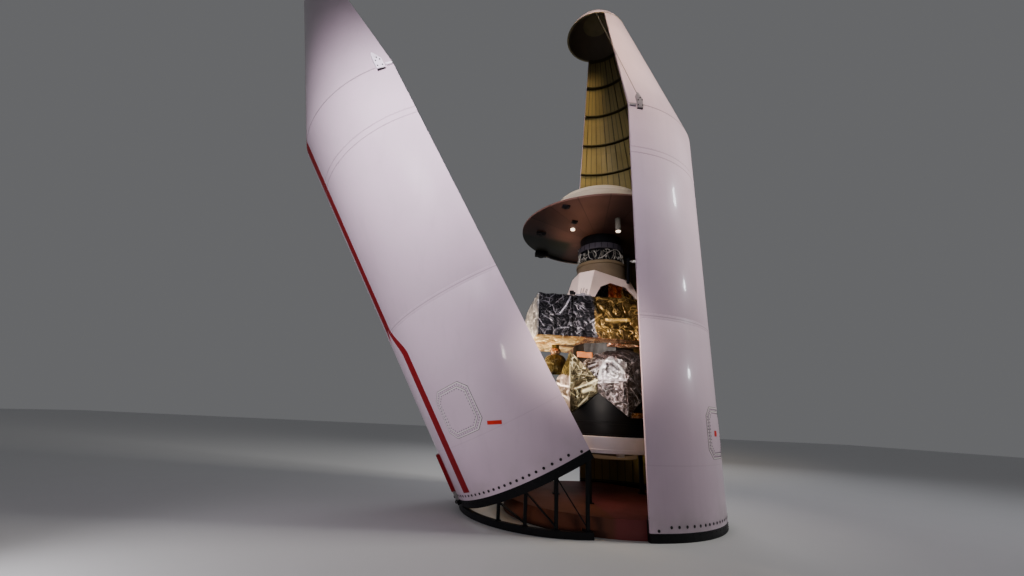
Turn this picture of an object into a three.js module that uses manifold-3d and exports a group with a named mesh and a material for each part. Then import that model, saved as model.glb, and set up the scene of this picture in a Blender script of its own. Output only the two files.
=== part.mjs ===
// Rocket payload fairing on its display stand, opened as at separation, with a spacecraft model inside.
// Millimetres, +Z up. The origin is on the floor, on the axis of the upright right half;
// +X is the way the right half swings open, and the open side that the viewer sees faces -Y.
import * as THREE from 'three';
import { mergeVertices } from 'three/addons/utils/BufferGeometryUtils.js';
import Module from 'manifold-3d';

const wasm = await Module();
wasm.setup();

// Driving dimensions of the fairing
const SKIN_RADIUS = 2035;
const CYLINDER_LENGTH = 7446;
const CONE_LENGTH = 3928;
const NOSE_RADIUS = 773;
const WALL = 40;
const FRAME_DEPTH = 60;
const FRAME_WIDTH = 30;
const SEAT_GAP = 0.3;
const ROUND_SEGMENTS = 48;

// Heights above the skin's lower edge: field joints between sections, and inner ring frames
const FIELD_JOINT = 3170;
const CYLINDER_FRAMES_LOWER = [190, 890, 1690, 2530, 3120];
const CYLINDER_FRAMES_UPPER = [3220, 4000, 4800, 5550, 6330, 6490, 7390];
const CONE_FRAMES = [7500, 8235, 9030, 9830, 10610, 11340];

// Access door, measured from the split plane's normal and the skin's lower edge
const DOOR = { angle: 43.2, height: 1385, width: 760, tall: 815, chamfer: 140, proud: 4, gap: 0.5 };

// Hinge of each half, at the outer middle of its lower edge: a lug on the skin between two ears on the stand
const HINGE = {
  out: 35, drop: 15, reach: 250, lugWidth: 60, lugTop: 140, root: 60, knuckle: 28, pin: 12, pinGap: 0.6,
  earGap: 5, earWidth: 15, earBottom: 80, earTop: 4, ringClearance: 6,
};

// Bracket beside each end of the split edge, at the top of the cylinder
const EDGE_BRACKET = { fromSplit: 8, width: 142, bottom: 7300, top: 7420, depth: 70, root: 20 };

// Stand of the upright half: a ring under the skin, with an upstand inside the skin that the bolts go through
const BASE_RING_HEIGHT = 124;
const BASE_RING_WIDTH = 110;
const UPSTAND = 165;

// Stand of the tilted half: a wedge of posts between a floor ring and a tilted ring
const TILT = THREE.MathUtils.degToRad(29.7);
const TURN = THREE.MathUtils.degToRad(5.3);
const WEDGE_CENTRE = { x: -970, y: 75 };
const FLOOR_RING_HEIGHT = 95;
const FLOOR_RING_WIDTH = 90;
const TILTED_RING_HEIGHT = 105;
const TILTED_RING_WIDTH = 80;
const RING_END = { width: 90, inner: 1500 };
const POST_ANGLES = [42.5, 57.5, 72.5, 87.5];
const POST = { size: 60, inset: 8, intoRing: 45 };
const BRACE = { width: 45, thick: 20, belowHead: 70, aboveFoot: 40 };

// Payload stand and spacecraft: heights above the floor, and radii
const PODIUM = {
  radius: SKIN_RADIUS - BASE_RING_WIDTH - SEAT_GAP, top: 270, cutAngle: 37, cutDistance: 1490,
};
const LEG_ANGLES = [25, 177, 236, 335];
const LEG_SIZE = 70;
const LEG_RADIUS = 950;
const PAYLOAD_RING = { bottom: 1080, top: 1350, outer: 1000, lip: 30, lipTall: 65 };
const HUB = { radius: 600, bottom: 955 };
const ADAPTER = { radius: 820, top: 2250 };
const EQUIPMENT_BOX = { halfX: 1520, halfY: 950, bottom: 3080, top: 3900 };

// Foil blankets: kites folded over the ridges of the bay, that meet in its valleys
const BLANKET = {
  turn: 216.9, ridgeRadius: 1040, valleyRadius: 980, thick: 50, sideGap: 1, overlap: 2,
  point: 1700, valley: 2112, shoulder: 2340, apex: 2860,
};
const BLANKETS = [
  // finish, height of its upper corner
  ['gold_foil', BLANKET.apex],
  ['silver_foil', BLANKET.shoulder],
  ['silver_foil', BLANKET.apex],
  ['black_foil', BLANKET.apex],
  ['gold_foil', BLANKET.apex],
  ['silver_foil', BLANKET.shoulder],
];
const BAY_BODY_INSET = 390;
const DOME = { x: 200, y: -350, halfWidth: 850, halfDepth: 600, height: 660 };
const THRUSTER = {
  x: -990, y: 50, neck: 55, crown: 2875, crownRadius: 130, shoulder: 2790, shoulderRadius: 215,
  mouth: 250, bottom: 2500, wall: 30,
};
const TOWER = { top: 4470, wall: 45, faceDirection: 30.6, insetAt: 700 };
const TOWER_CORNERS = [
  // x and y at the foot, then x and y at the top
  [-743, -805, -642, -641],
  [-548, -928, -397, -867],
  [970, -80, 537, -315],
  [1000, 250, 680, 150],
  [743, 805, 642, 641],
  [548, 928, 397, 867],
  [-770, 220, -537, 315],
  [-860, -120, -680, -150],
];
const TOWER_ARCH = { x: 206, y: -511, foot: 700, shoulder: 520, shoulderRise: 266, crown: 240, rise: 407 };
const DRUM = { radius: 530, top: 4860 };
const NECK = { radius: 500, top: 5500 };
const DISH = { radius: 1774, rimHeight: 5652, wall: 45, hub: 640, kneeAt: 0.7, kneeDrop: 60, crown: 20 };
const DISH_COVER = {
  foot: 1210, radius: 1500, shoulder: 1430, inner: 860,
  sideHeight: 250, chamfer: 20, innerHeight: 6240, top: 6300,
};

const COLOURS = {
  white_paint: { color: 0xe4e0e4, roughness: 0.3, metalness: 0.0 },
  black_paint: { color: 0x101014, roughness: 0.5, metalness: 0.1 },
  red_floor: { color: 0x6b2a22, roughness: 0.6, metalness: 0.0 },
  steel: { color: 0x9a9a9e, roughness: 0.4, metalness: 0.8 },
  black_foil: { color: 0x35332f, roughness: 0.3, metalness: 0.7 },
  gold_foil: { color: 0xb9923f, roughness: 0.3, metalness: 0.8 },
  silver_foil: { color: 0xb5b3b0, roughness: 0.3, metalness: 0.8 },
  khaki_paint: { color: 0x7c7448, roughness: 0.6, metalness: 0.0 },
  dish_brown: { color: 0x33241f, roughness: 0.5, metalness: 0.1 },
};

// Solids

function toSolid(geometry) {
  const bare = geometry.index ? geometry.toNonIndexed() : geometry.clone();
  for (const name of Object.keys(bare.attributes)) {
    if (name !== 'position') bare.deleteAttribute(name);
  }
  const merged = mergeVertices(bare, 1e-3);
  return new wasm.Manifold(new wasm.Mesh({
    numProp: 3,
    vertProperties: new Float32Array(merged.attributes.position.array),
    triVerts: new Uint32Array(merged.index.array),
  }));
}

function toGeometry(solid) {
  const mesh = solid.getMesh();
  const geometry = new THREE.BufferGeometry();
  geometry.setAttribute('position', new THREE.BufferAttribute(new Float32Array(mesh.vertProperties), 3));
  geometry.setIndex(new THREE.BufferAttribute(new Uint32Array(mesh.triVerts), 1));
  geometry.computeVertexNormals();
  return geometry;
}

function joined(solids) {
  return solids.reduce((sum, solid) => sum.add(solid));
}

// A box between any two opposite corners
function box(a, b) {
  const geometry = new THREE.BoxGeometry(...a.map((value, i) => Math.abs(b[i] - value)));
  geometry.translate(...a.map((value, i) => (value + b[i]) / 2));
  return toSolid(geometry);
}

// A closed profile of [radius, height] pairs turned about the vertical axis
function turned(profile, segments = ROUND_SEGMENTS) {
  const points = profile.map(([radius, height]) => new THREE.Vector2(radius, height));
  const closesOnAxis = profile[0][0] === 0 && profile[profile.length - 1][0] === 0;
  if (!closesOnAxis) points.push(points[0].clone());
  const geometry = new THREE.LatheGeometry(points, segments);
  geometry.rotateX(Math.PI / 2);
  const solid = toSolid(geometry);
  return solid.volume() < 0 ? toSolid(flipped(geometry)) : solid;
}

function flipped(geometry) {
  const index = geometry.index.array;
  for (let i = 0; i < index.length; i += 3) {
    [index[i + 1], index[i + 2]] = [index[i + 2], index[i + 1]];
  }
  return geometry;
}

function outline(points) {
  const shape = new THREE.Shape();
  points.forEach(([x, y], i) => (i ? shape.lineTo(x, y) : shape.moveTo(x, y)));
  shape.closePath();
  return shape;
}

function extruded(shape, depth, matrix = new THREE.Matrix4(), curveSegments = ROUND_SEGMENTS / 2) {
  const geometry = new THREE.ExtrudeGeometry(shape, { depth, bevelEnabled: false, curveSegments });
  return toSolid(geometry.applyMatrix4(matrix));
}

// A bar of rectangular section between two points; its width lies across the vertical plane of the bar
function bar(from, to, width, thick) {
  const start = new THREE.Vector3(...from);
  const end = new THREE.Vector3(...to);
  const along = end.clone().sub(start);
  const geometry = new THREE.BoxGeometry(width, thick, along.length());
  const upward = new THREE.Vector3(0, 0, 1);
  geometry.applyQuaternion(new THREE.Quaternion().setFromUnitVectors(upward, along.clone().normalize()));
  geometry.translate(...start.add(end).multiplyScalar(0.5).toArray());
  return toSolid(geometry);
}

function rodAlongY([x, y, z], length, radius, segments = 16) {
  const geometry = new THREE.CylinderGeometry(radius, radius, length, segments);
  geometry.translate(x, y, z);
  return toSolid(geometry);
}

function plug(radius, bottom, top) {
  return turned([[0, bottom], [radius, bottom], [radius, top], [0, top]]);
}

function polar(radius, degrees) {
  const angle = THREE.MathUtils.degToRad(degrees);
  return [radius * Math.cos(angle), radius * Math.sin(angle)];
}

// Scene graph

const model = new THREE.Group();
const leftStand = new THREE.Group();
leftStand.position.set(WEDGE_CENTRE.x, WEDGE_CENTRE.y, 0);
leftStand.rotation.z = TURN;
const leftHalf = new THREE.Group();
leftStand.add(leftHalf);
const rightHalf = new THREE.Group();
rightHalf.position.z = BASE_RING_HEIGHT;
model.add(leftStand, rightHalf);

// The tilted ring's lower face meets the floor ring's top at its outermost point
const ringCentreHeight = FLOOR_RING_HEIGHT + SEAT_GAP + SKIN_RADIUS * Math.sin(TILT);
leftHalf.position.set(
  -TILTED_RING_HEIGHT * Math.sin(TILT),
  0,
  ringCentreHeight + TILTED_RING_HEIGHT * Math.cos(TILT),
);
leftHalf.rotation.y = -TILT;
leftHalf.updateMatrix();

function addPiece(parent, name, solid, finish) {
  const mesh = new THREE.Mesh(toGeometry(solid), new THREE.MeshStandardMaterial(COLOURS[finish]));
  mesh.name = name;
  parent.add(mesh);
}

// Fairing halves. side is +1 for the right half and -1 for the left

const FAR = 3 * SKIN_RADIUS;
const coneSlope = (SKIN_RADIUS - NOSE_RADIUS) / CONE_LENGTH;

function keepSide(solid, side) {
  const high = CYLINDER_LENGTH + 2 * CONE_LENGTH;
  return solid.subtract(box([-side * FAR, -FAR, -FAR], [0, FAR, high]));
}

function skinRadiusAt(height) {
  return SKIN_RADIUS - Math.max(0, height - CYLINDER_LENGTH) * coneSlope;
}

function wallProfile(bottom, top, frames) {
  const inner = (height) => skinRadiusAt(height) - WALL;
  const profile = [[skinRadiusAt(bottom), bottom], [skinRadiusAt(top), top], [inner(top), top]];
  for (const height of [...frames].reverse()) {
    const high = height + FRAME_WIDTH / 2;
    const low = height - FRAME_WIDTH / 2;
    profile.push([inner(high), high], [inner(high) - FRAME_DEPTH, high]);
    profile.push([inner(high) - FRAME_DEPTH, low], [inner(low), low]);
  }
  profile.push([inner(bottom), bottom]);
  return profile;
}

function doorPrism(side, grow) {
  const w = DOOR.width / 2 + grow;
  const h = DOOR.tall / 2 + grow;
  const c = DOOR.chamfer;
  const points = [
    [w - c, -h], [w, c - h], [w, h - c], [w - c, h],
    [c - w, h], [-w, h - c], [-w, c - h], [c - w, -h],
  ];
  // The outline stands upright, faces out of the skin and is pushed through the wall
  const upright = new THREE.Matrix4().makeRotationX(Math.PI / 2);
  const facing = side > 0 ? -DOOR.angle : 180 + DOOR.angle;
  const place = new THREE.Matrix4().makeRotationZ(THREE.MathUtils.degToRad(facing + 90));
  const [x, y] = polar(SKIN_RADIUS + 2 * WALL, facing);
  const move = new THREE.Matrix4().makeTranslation(x, y, DOOR.height);
  const inward = new THREE.Matrix4().makeTranslation(0, 0, -4 * WALL);
  return extruded(outline(points), 4 * WALL, move.multiply(place).multiply(upright).multiply(inward));
}

// The lug lies on the skin. Its lower end stays clear of the stand's ring, apart from the knuckle and the pin
function hingeLug(side, centreY) {
  const axisX = side * (SKIN_RADIUS + HINGE.out);
  const half = HINGE.lugWidth / 2;
  const root = side * (SKIN_RADIUS - HINGE.root);
  const plate = box([root, centreY - half, -HINGE.drop], [axisX, centreY + half, HINGE.lugTop]);
  const knuckle = rodAlongY([axisX, centreY, -HINGE.drop], HINGE.lugWidth, HINGE.knuckle);
  const pinLength = HINGE.lugWidth + 2 * (HINGE.earGap + HINGE.earWidth);
  const pin = rodAlongY([axisX, centreY, -HINGE.drop], pinLength, HINGE.pin);
  const clear = HINGE.ringClearance;
  const ringSpace = plug(SKIN_RADIUS + clear, -FAR, clear).subtract(knuckle.add(pin));
  return joined([plate, knuckle, pin]).subtract(plug(SKIN_RADIUS + SEAT_GAP, -FAR, FAR)).subtract(ringSpace);
}

function hingeEars(side) {
  const axisX = side * (SKIN_RADIUS + HINGE.out);
  const root = side * (SKIN_RADIUS - HINGE.root);
  const half = HINGE.earWidth / 2;
  const fromLug = HINGE.lugWidth / 2 + HINGE.earGap + half;
  const ears = [];
  for (const lugY of [-HINGE.reach, HINGE.reach]) {
    for (const y of [lugY - fromLug, lugY + fromLug]) {
      const plate = box([root, y - half, -HINGE.earBottom], [axisX, y + half, -HINGE.earTop]);
      const eye = rodAlongY([axisX, y, -HINGE.drop], HINGE.earWidth, HINGE.knuckle);
      const hole = rodAlongY([axisX, y, -HINGE.drop], 2 * HINGE.earWidth, HINGE.pin + HINGE.pinGap);
      ears.push(plate.add(eye).subtract(hole));
    }
  }
  return ears;
}

function noseCap() {
  const slant = Math.atan(coneSlope);
  const radius = NOSE_RADIUS / Math.cos(slant);
  const seat = CYLINDER_LENGTH + CONE_LENGTH + SEAT_GAP;
  const centre = CYLINDER_LENGTH + CONE_LENGTH - NOSE_RADIUS * Math.tan(slant);
  const steps = 8;
  const quarter = (r) => Array.from({ length: steps + 1 }, (_, i) => {
    const rim = Math.asin((seat - centre) / r);
    const angle = rim + ((Math.PI / 2 - rim) * i) / steps;
    return [i === steps ? 0 : r * Math.cos(angle), centre + r * Math.sin(angle)];
  });
  return turned([...quarter(radius).reverse(), ...quarter(radius - WALL)]);
}

function edgeBracket(side, way) {
  const b = EDGE_BRACKET;
  const block = box(
    [side * b.fromSplit, way * (SKIN_RADIUS - b.root), b.bottom],
    [side * (b.fromSplit + b.width), way * (SKIN_RADIUS + b.depth), b.top],
  );
  return block.subtract(plug(SKIN_RADIUS + SEAT_GAP, 0, CYLINDER_LENGTH));
}

const SECTIONS = [
  // name, bottom, top, ring frames
  ['lower_shell', 0, FIELD_JOINT, CYLINDER_FRAMES_LOWER],
  ['upper_shell', FIELD_JOINT, CYLINDER_LENGTH, CYLINDER_FRAMES_UPPER],
  ['cone_shell', CYLINDER_LENGTH, CYLINDER_LENGTH + CONE_LENGTH, CONE_FRAMES],
];

for (const [label, side, parent] of [['left', -1, leftHalf], ['right', 1, rightHalf]]) {
  for (const [name, bottom, top, frames] of SECTIONS) {
    const low = bottom === 0 ? 0 : bottom + SEAT_GAP;
    let wall = keepSide(turned(wallProfile(low, top, frames)), side);
    if (name === 'lower_shell') wall = wall.subtract(doorPrism(side, DOOR.gap));
    addPiece(parent, `${label}_${name}`, wall, 'white_paint');
  }
  const doorWall = turned([
    [SKIN_RADIUS - WALL, 0], [SKIN_RADIUS + DOOR.proud, 0],
    [SKIN_RADIUS + DOOR.proud, FIELD_JOINT], [SKIN_RADIUS - WALL, FIELD_JOINT],
  ]);
  addPiece(parent, `${label}_access_door`, doorWall.intersect(doorPrism(side, 0)), 'white_paint');
  [-1, 1].forEach((way, i) => {
    addPiece(parent, `${label}_hinge_lug_${i + 1}`, hingeLug(side, way * HINGE.reach), 'steel');
    addPiece(parent, `${label}_edge_bracket_${i + 1}`, edgeBracket(side, way), 'steel');
  });
}
addPiece(rightHalf, 'right_nose_cap', noseCap(), 'white_paint');

// Stand of the upright half: a ring on the floor with the hinge ears
const ringTop = -SEAT_GAP;
const upstandOuter = SKIN_RADIUS - WALL - SEAT_GAP;
const baseRing = keepSide(turned([
  [SKIN_RADIUS - BASE_RING_WIDTH, -BASE_RING_HEIGHT], [SKIN_RADIUS, -BASE_RING_HEIGHT], [SKIN_RADIUS, ringTop],
  [upstandOuter, ringTop], [upstandOuter, UPSTAND], [SKIN_RADIUS - BASE_RING_WIDTH, UPSTAND],
]), 1);
addPiece(rightHalf, 'right_base_ring', joined([baseRing, ...hingeEars(1)]), 'black_paint');

// Stand of the tilted half
const ellipseX = SKIN_RADIUS * Math.cos(TILT);

function ellipseHalf(inset) {
  const shape = new THREE.Shape();
  shape.moveTo(0, -(SKIN_RADIUS - inset));
  shape.absellipse(0, 0, ellipseX - inset, SKIN_RADIUS - inset, -Math.PI / 2, Math.PI / 2, true);
  shape.closePath();
  return shape;
}

// The floor ring's two ends turn inwards and meet the podium
function leftFloorRing() {
  const overlap = 10;
  const reach = SKIN_RADIUS - FLOOR_RING_WIDTH;
  const inside = extruded(ellipseHalf(FLOOR_RING_WIDTH), 2 * FLOOR_RING_HEIGHT)
    .add(box([0, -reach, 0], [overlap, reach, 2 * FLOOR_RING_HEIGHT]))
    .translate([0, 0, -FLOOR_RING_HEIGHT / 2]);
  const ring = extruded(ellipseHalf(0), FLOOR_RING_HEIGHT).subtract(inside);
  const ends = [-1, 1].map((way) => box(
    [-RING_END.width, way * RING_END.inner, 0],
    [0, way * (SKIN_RADIUS - FLOOR_RING_WIDTH / 2), FLOOR_RING_HEIGHT],
  ));
  const podiumSpace = plug(PODIUM.radius + SEAT_GAP, -PODIUM.top, PODIUM.top);
  leftStand.updateMatrix();
  return joined([ring, ...ends]).subtract(podiumSpace.transform(leftStand.matrix.clone().invert().elements));
}

function leftWedgeFrame() {
  const tiltedRing = keepSide(turned([
    [SKIN_RADIUS - TILTED_RING_WIDTH, -TILTED_RING_HEIGHT], [SKIN_RADIUS, -TILTED_RING_HEIGHT],
    [SKIN_RADIUS, ringTop], [SKIN_RADIUS - TILTED_RING_WIDTH, ringTop],
  ]), -1);
  const tilted = joined([tiltedRing, ...hingeEars(-1)]).transform(leftHalf.matrix.elements);
  const pieces = [tilted];
  const middle = SKIN_RADIUS - TILTED_RING_WIDTH / 2 - POST.inset;
  const half = POST.size / 2;
  for (const way of [-1, 1]) {
    const posts = POST_ANGLES.map((angle) => {
      const [ringX, y] = polar(middle, 180 + way * angle);
      const x = ringX * Math.cos(TILT);
      const head = ringCentreHeight + x * Math.tan(TILT) + POST.intoRing;
      return { x, y, foot: FLOOR_RING_HEIGHT + SEAT_GAP, head };
    });
    posts.forEach(({ x, y, foot, head }, k) => {
      pieces.push(box([x - half, y - half, foot], [x + half, y + half, head]));
      if (k === 0) return;
      const previous = posts[k - 1];
      const upper = [previous.x, previous.y, previous.head - BRACE.belowHead];
      pieces.push(bar(upper, [x, y, foot + BRACE.aboveFoot], BRACE.width, BRACE.thick));
    });
  }
  return joined(pieces);
}

addPiece(leftStand, 'left_floor_ring', leftFloorRing(), 'black_paint');
addPiece(leftStand, 'left_wedge_frame', leftWedgeFrame(), 'black_paint');

// Round podium between the two stands, with one flat side behind the upright half
function podium() {
  const beyond = box([PODIUM.cutDistance, -FAR, -FAR], [FAR, FAR, FAR]).rotate([0, 0, PODIUM.cutAngle]);
  return plug(PODIUM.radius, 0, PODIUM.top).subtract(beyond);
}
addPiece(model, 'podium', podium(), 'red_floor');

// Payload stand: legs under a white ring, and the adapter on it
function payloadRing() {
  const r = PAYLOAD_RING;
  return turned([
    [0, r.bottom], [r.outer + r.lip, r.bottom], [r.outer + r.lip, r.bottom + r.lipTall],
    [r.outer, r.bottom + r.lipTall], [r.outer, r.top], [0, r.top],
  ]);
}

LEG_ANGLES.forEach((angle, i) => {
  const [x, y] = polar(LEG_RADIUS, angle);
  const half = LEG_SIZE / 2;
  const leg = box(
    [x - half, y - half, PODIUM.top + SEAT_GAP], [x + half, y + half, PAYLOAD_RING.bottom - SEAT_GAP],
  );
  addPiece(model, `payload_stand_leg_${i + 1}`, leg, 'black_paint');
});
const hub = plug(HUB.radius, HUB.bottom, PAYLOAD_RING.bottom - SEAT_GAP);
const adapter = plug(ADAPTER.radius, PAYLOAD_RING.top + SEAT_GAP, ADAPTER.top);
addPiece(model, 'payload_stand_hub', hub, 'khaki_paint');
addPiece(model, 'payload_stand_ring', payloadRing(), 'white_paint');
addPiece(model, 'payload_adapter', adapter, 'black_paint');

// Spacecraft

// Plan outline of the bay with its blankets: ridges and valleys in turn
const RIM = Array.from({ length: 12 }, (_, i) => (
  polar(i % 2 ? BLANKET.valleyRadius : BLANKET.ridgeRadius, BLANKET.turn + 30 * i)
));
const facetLength = Math.hypot(RIM[1][0] - RIM[0][0], RIM[1][1] - RIM[0][1]);
const facetOffset = Math.abs(RIM[0][0] * RIM[1][1] - RIM[0][1] * RIM[1][0]) / facetLength;

// A prism with the outline's faces moved in by inset
function bayPrism(inset, bottom, top) {
  const scale = (facetOffset - inset) / facetOffset;
  const shape = outline(RIM.map(([x, y]) => [x * scale, y * scale]));
  return extruded(shape, top - bottom, new THREE.Matrix4().makeTranslation(0, 0, bottom));
}

const equipmentBottom = EQUIPMENT_BOX.bottom - SEAT_GAP;
const bayBody = bayPrism(BAY_BODY_INSET, ADAPTER.top + SEAT_GAP, equipmentBottom);
const bayDeck = bayPrism(BLANKET.thick + SEAT_GAP, ADAPTER.top + SEAT_GAP, BLANKET.shoulder);
addPiece(model, 'propulsion_bay', bayDeck.add(bayBody), 'black_foil');

// The space between two valleys, set in by the side gap
function baySector(k) {
  const direction = BLANKET.turn + 60 * k;
  const [x, y] = polar(BLANKET.sideGap, direction);
  const place = new THREE.Matrix4().makeTranslation(x, y, 0)
    .multiply(new THREE.Matrix4().makeRotationZ(THREE.MathUtils.degToRad(direction)));
  return extruded(outline([[0, 0], polar(FAR, -30), polar(FAR, 30)]), equipmentBottom, place);
}

// A blanket is a kite folded over a ridge: each facet runs from the ridge to the valley beside it
function foilBlanket(k, apex) {
  const b = BLANKET;
  const ridge = RIM[2 * k];
  const facets = [1, 11].map((step) => {
    const valley = RIM[(2 * k + step) % 12];
    const along = new THREE.Vector3(valley[0] - ridge[0], valley[1] - ridge[1], 0).normalize();
    const up = new THREE.Vector3(0, 0, 1);
    const across = along.clone().cross(up);
    const shape = outline([
      [-b.overlap, b.point], [facetLength, b.valley], [facetLength, b.shoulder], [-b.overlap, apex],
    ]);
    const place = new THREE.Matrix4().makeBasis(along, up, across).setPosition(ridge[0], ridge[1], 0);
    const inward = step === 1 ? -b.thick : 0;
    return extruded(shape, b.thick, place.multiply(new THREE.Matrix4().makeTranslation(0, 0, inward)));
  });
  return joined(facets).intersect(baySector(k)).intersect(bayPrism(0, 0, equipmentBottom));
}
BLANKETS.forEach(([finish, apex], k) => {
  addPiece(model, `lower_blanket_${k + 1}`, foilBlanket(k, apex), finish);
});

// Rounded blanket that lies on the bay's deck, behind the first two kites and round the body
function roundedBlanket() {
  const steps = 6;
  const arc = Array.from({ length: steps + 1 }, (_, i) => {
    const angle = (Math.PI / 2) * (i / steps);
    return [i === steps ? 0 : DOME.halfWidth * Math.cos(angle), DOME.height * Math.sin(angle)];
  });
  const lift = BLANKET.shoulder + SEAT_GAP;
  return turned([[0, 0], ...arc], ROUND_SEGMENTS)
    .scale([1, DOME.halfDepth / DOME.halfWidth, 1])
    .translate([DOME.x, DOME.y, lift])
    .intersect(bayPrism(BLANKET.thick + SEAT_GAP, 0, equipmentBottom))
    .subtract(bayPrism(BAY_BODY_INSET - SEAT_GAP, 0, EQUIPMENT_BOX.top));
}
addPiece(model, 'rounded_blanket', roundedBlanket(), 'silver_foil');

// Thruster that hangs under the equipment box: a neck and a hollow bell with a round shoulder
function thruster() {
  const t = THRUSTER;
  return turned([
    [0, equipmentBottom], [t.neck, equipmentBottom], [t.neck, t.crown], [t.crownRadius, t.crown],
    [t.shoulderRadius, t.shoulder], [t.mouth, t.bottom], [t.mouth - t.wall, t.bottom],
    [t.shoulderRadius - t.wall, t.shoulder - t.wall], [0, t.shoulder - t.wall],
  ], ROUND_SEGMENTS / 2).translate([t.x, t.y, 0]);
}
addPiece(model, 'thruster', thruster(), 'gold_foil');

const equipmentBox = box(
  [-EQUIPMENT_BOX.halfX, -EQUIPMENT_BOX.halfY, EQUIPMENT_BOX.bottom],
  [EQUIPMENT_BOX.halfX, EQUIPMENT_BOX.halfY, EQUIPMENT_BOX.top],
);
addPiece(model, 'equipment_box', equipmentBox, 'black_foil');

// A solid with flat ends between two outlines of as many corners, anticlockwise seen from above
function lofted(low, bottom, high, top) {
  const count = low.length;
  const corners = [...low.map(([x, y]) => [x, y, bottom]), ...high.map(([x, y]) => [x, y, top])];
  const sides = low.flatMap((_, i) => {
    const next = (i + 1) % count;
    return [i, next, count + next, i, count + next, count + i];
  });
  const ends = low.slice(2).flatMap((_, i) => [0, i + 2, i + 1, count, count + i + 1, count + i + 2]);
  const geometry = new THREE.BufferGeometry();
  geometry.setAttribute('position', new THREE.Float32BufferAttribute(corners.flat(), 3));
  geometry.setIndex([...sides, ...ends]);
  return toSolid(geometry);
}

// Hollow tower, wider at its foot, with an arch cut through from its broad face
function tower() {
  const bottom = EQUIPMENT_BOX.top + SEAT_GAP;
  const shell = (low, high, inset) => {
    const scale = 1 - inset / TOWER.insetAt;
    return lofted(
      TOWER_CORNERS.map(([x, y]) => [x * scale, y * scale]), low,
      TOWER_CORNERS.map(([, , x, y]) => [x * scale, y * scale]), high,
    );
  };
  const hollow = shell(bottom - 1, TOWER.top - TOWER.wall, TOWER.wall);
  const a = TOWER_ARCH;
  const arch = outline([
    [-a.foot, bottom - 1], [a.foot, bottom - 1], [a.shoulder, bottom + a.shoulderRise],
    [a.crown, bottom + a.rise], [-a.crown, bottom + a.rise], [-a.shoulder, bottom + a.shoulderRise],
  ]);
  const through = extruded(arch, 2 * FAR,
    new THREE.Matrix4().makeTranslation(a.x, a.y, 0)
      .multiply(new THREE.Matrix4().makeRotationZ(THREE.MathUtils.degToRad(TOWER.faceDirection)))
      .multiply(new THREE.Matrix4().makeRotationX(Math.PI / 2))
      .multiply(new THREE.Matrix4().makeTranslation(0, 0, -FAR)));
  return shell(bottom, TOWER.top, 0).subtract(hollow).subtract(through);
}
addPiece(model, 'tower', tower(), 'white_paint');

addPiece(model, 'drum', plug(DRUM.radius, TOWER.top + SEAT_GAP, DRUM.top), 'khaki_paint');
addPiece(model, 'neck', plug(NECK.radius, DRUM.top + SEAT_GAP, NECK.top), 'black_paint');

function dish() {
  const rim = DISH.rimHeight;
  const knee = DISH.radius * DISH.kneeAt;
  const back = rim + DISH.wall;
  return turned([
    [0, NECK.top + SEAT_GAP], [DISH.hub, NECK.top + SEAT_GAP], [knee, rim - DISH.kneeDrop], [DISH.radius, rim],
    [DISH.radius, back], [knee, back + DISH.crown], [0, back + DISH.crown],
  ]);
}
addPiece(model, 'dish', dish(), 'dish_brown');

function dishCover() {
  const c = DISH_COVER;
  const bottom = DISH.rimHeight + DISH.wall + DISH.crown + SEAT_GAP;
  return turned([
    [0, bottom], [c.foot, bottom], [c.radius, bottom + c.chamfer], [c.radius, bottom + c.sideHeight / 2],
    [c.shoulder, bottom + c.sideHeight], [c.inner, c.innerHeight], [0, c.top],
  ]);
}
addPiece(model, 'dish_cover', dishCover(), 'white_paint');

export default model;
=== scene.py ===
# Payload fairing of a launcher, opened on its display stand, with a foil-covered spacecraft inside
import math

import bmesh
import bpy
from mathutils import Matrix, Vector, geometry, kdtree, noise


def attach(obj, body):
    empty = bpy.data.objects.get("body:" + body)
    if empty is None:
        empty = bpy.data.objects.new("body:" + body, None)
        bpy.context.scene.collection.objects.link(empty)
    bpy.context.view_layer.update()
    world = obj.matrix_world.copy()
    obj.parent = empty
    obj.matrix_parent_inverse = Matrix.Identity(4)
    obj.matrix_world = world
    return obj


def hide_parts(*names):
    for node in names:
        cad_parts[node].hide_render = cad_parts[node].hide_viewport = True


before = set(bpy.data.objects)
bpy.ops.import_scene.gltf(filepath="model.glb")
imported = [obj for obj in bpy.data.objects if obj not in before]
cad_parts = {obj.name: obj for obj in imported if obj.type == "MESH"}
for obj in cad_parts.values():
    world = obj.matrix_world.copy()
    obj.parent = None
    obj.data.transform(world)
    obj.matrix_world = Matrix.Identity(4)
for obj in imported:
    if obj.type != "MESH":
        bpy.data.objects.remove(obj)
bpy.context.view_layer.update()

bl_info = {
    "name": "Payload Fairing",
    "version": (1, 0, 0),
    "blender": (4, 5, 0),
    "location": "View3D > Sidebar > Fairing",
    "description": "Builds an opened payload fairing with a spacecraft on its stand",
    "category": "Add Mesh",
}

# The gap at which a piece lies on what carries it
SEAT = 0.0003
# Without a seed, Blender takes the offsets of its vector noise from the clock
NOISE_SEED = 1


# Properties

def length(name, description, default):
    return bpy.props.FloatProperty(name=name, description=description, default=default, min=0, unit="LENGTH")


def turned_by(name, description, degrees):
    return bpy.props.FloatProperty(
        name=name, description=description, default=math.radians(degrees), subtype="ANGLE")


def colour(name, description, default):
    return bpy.props.FloatVectorProperty(
        name=name, description=description, default=default, size=3, min=0, max=1, subtype="COLOR")


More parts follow.
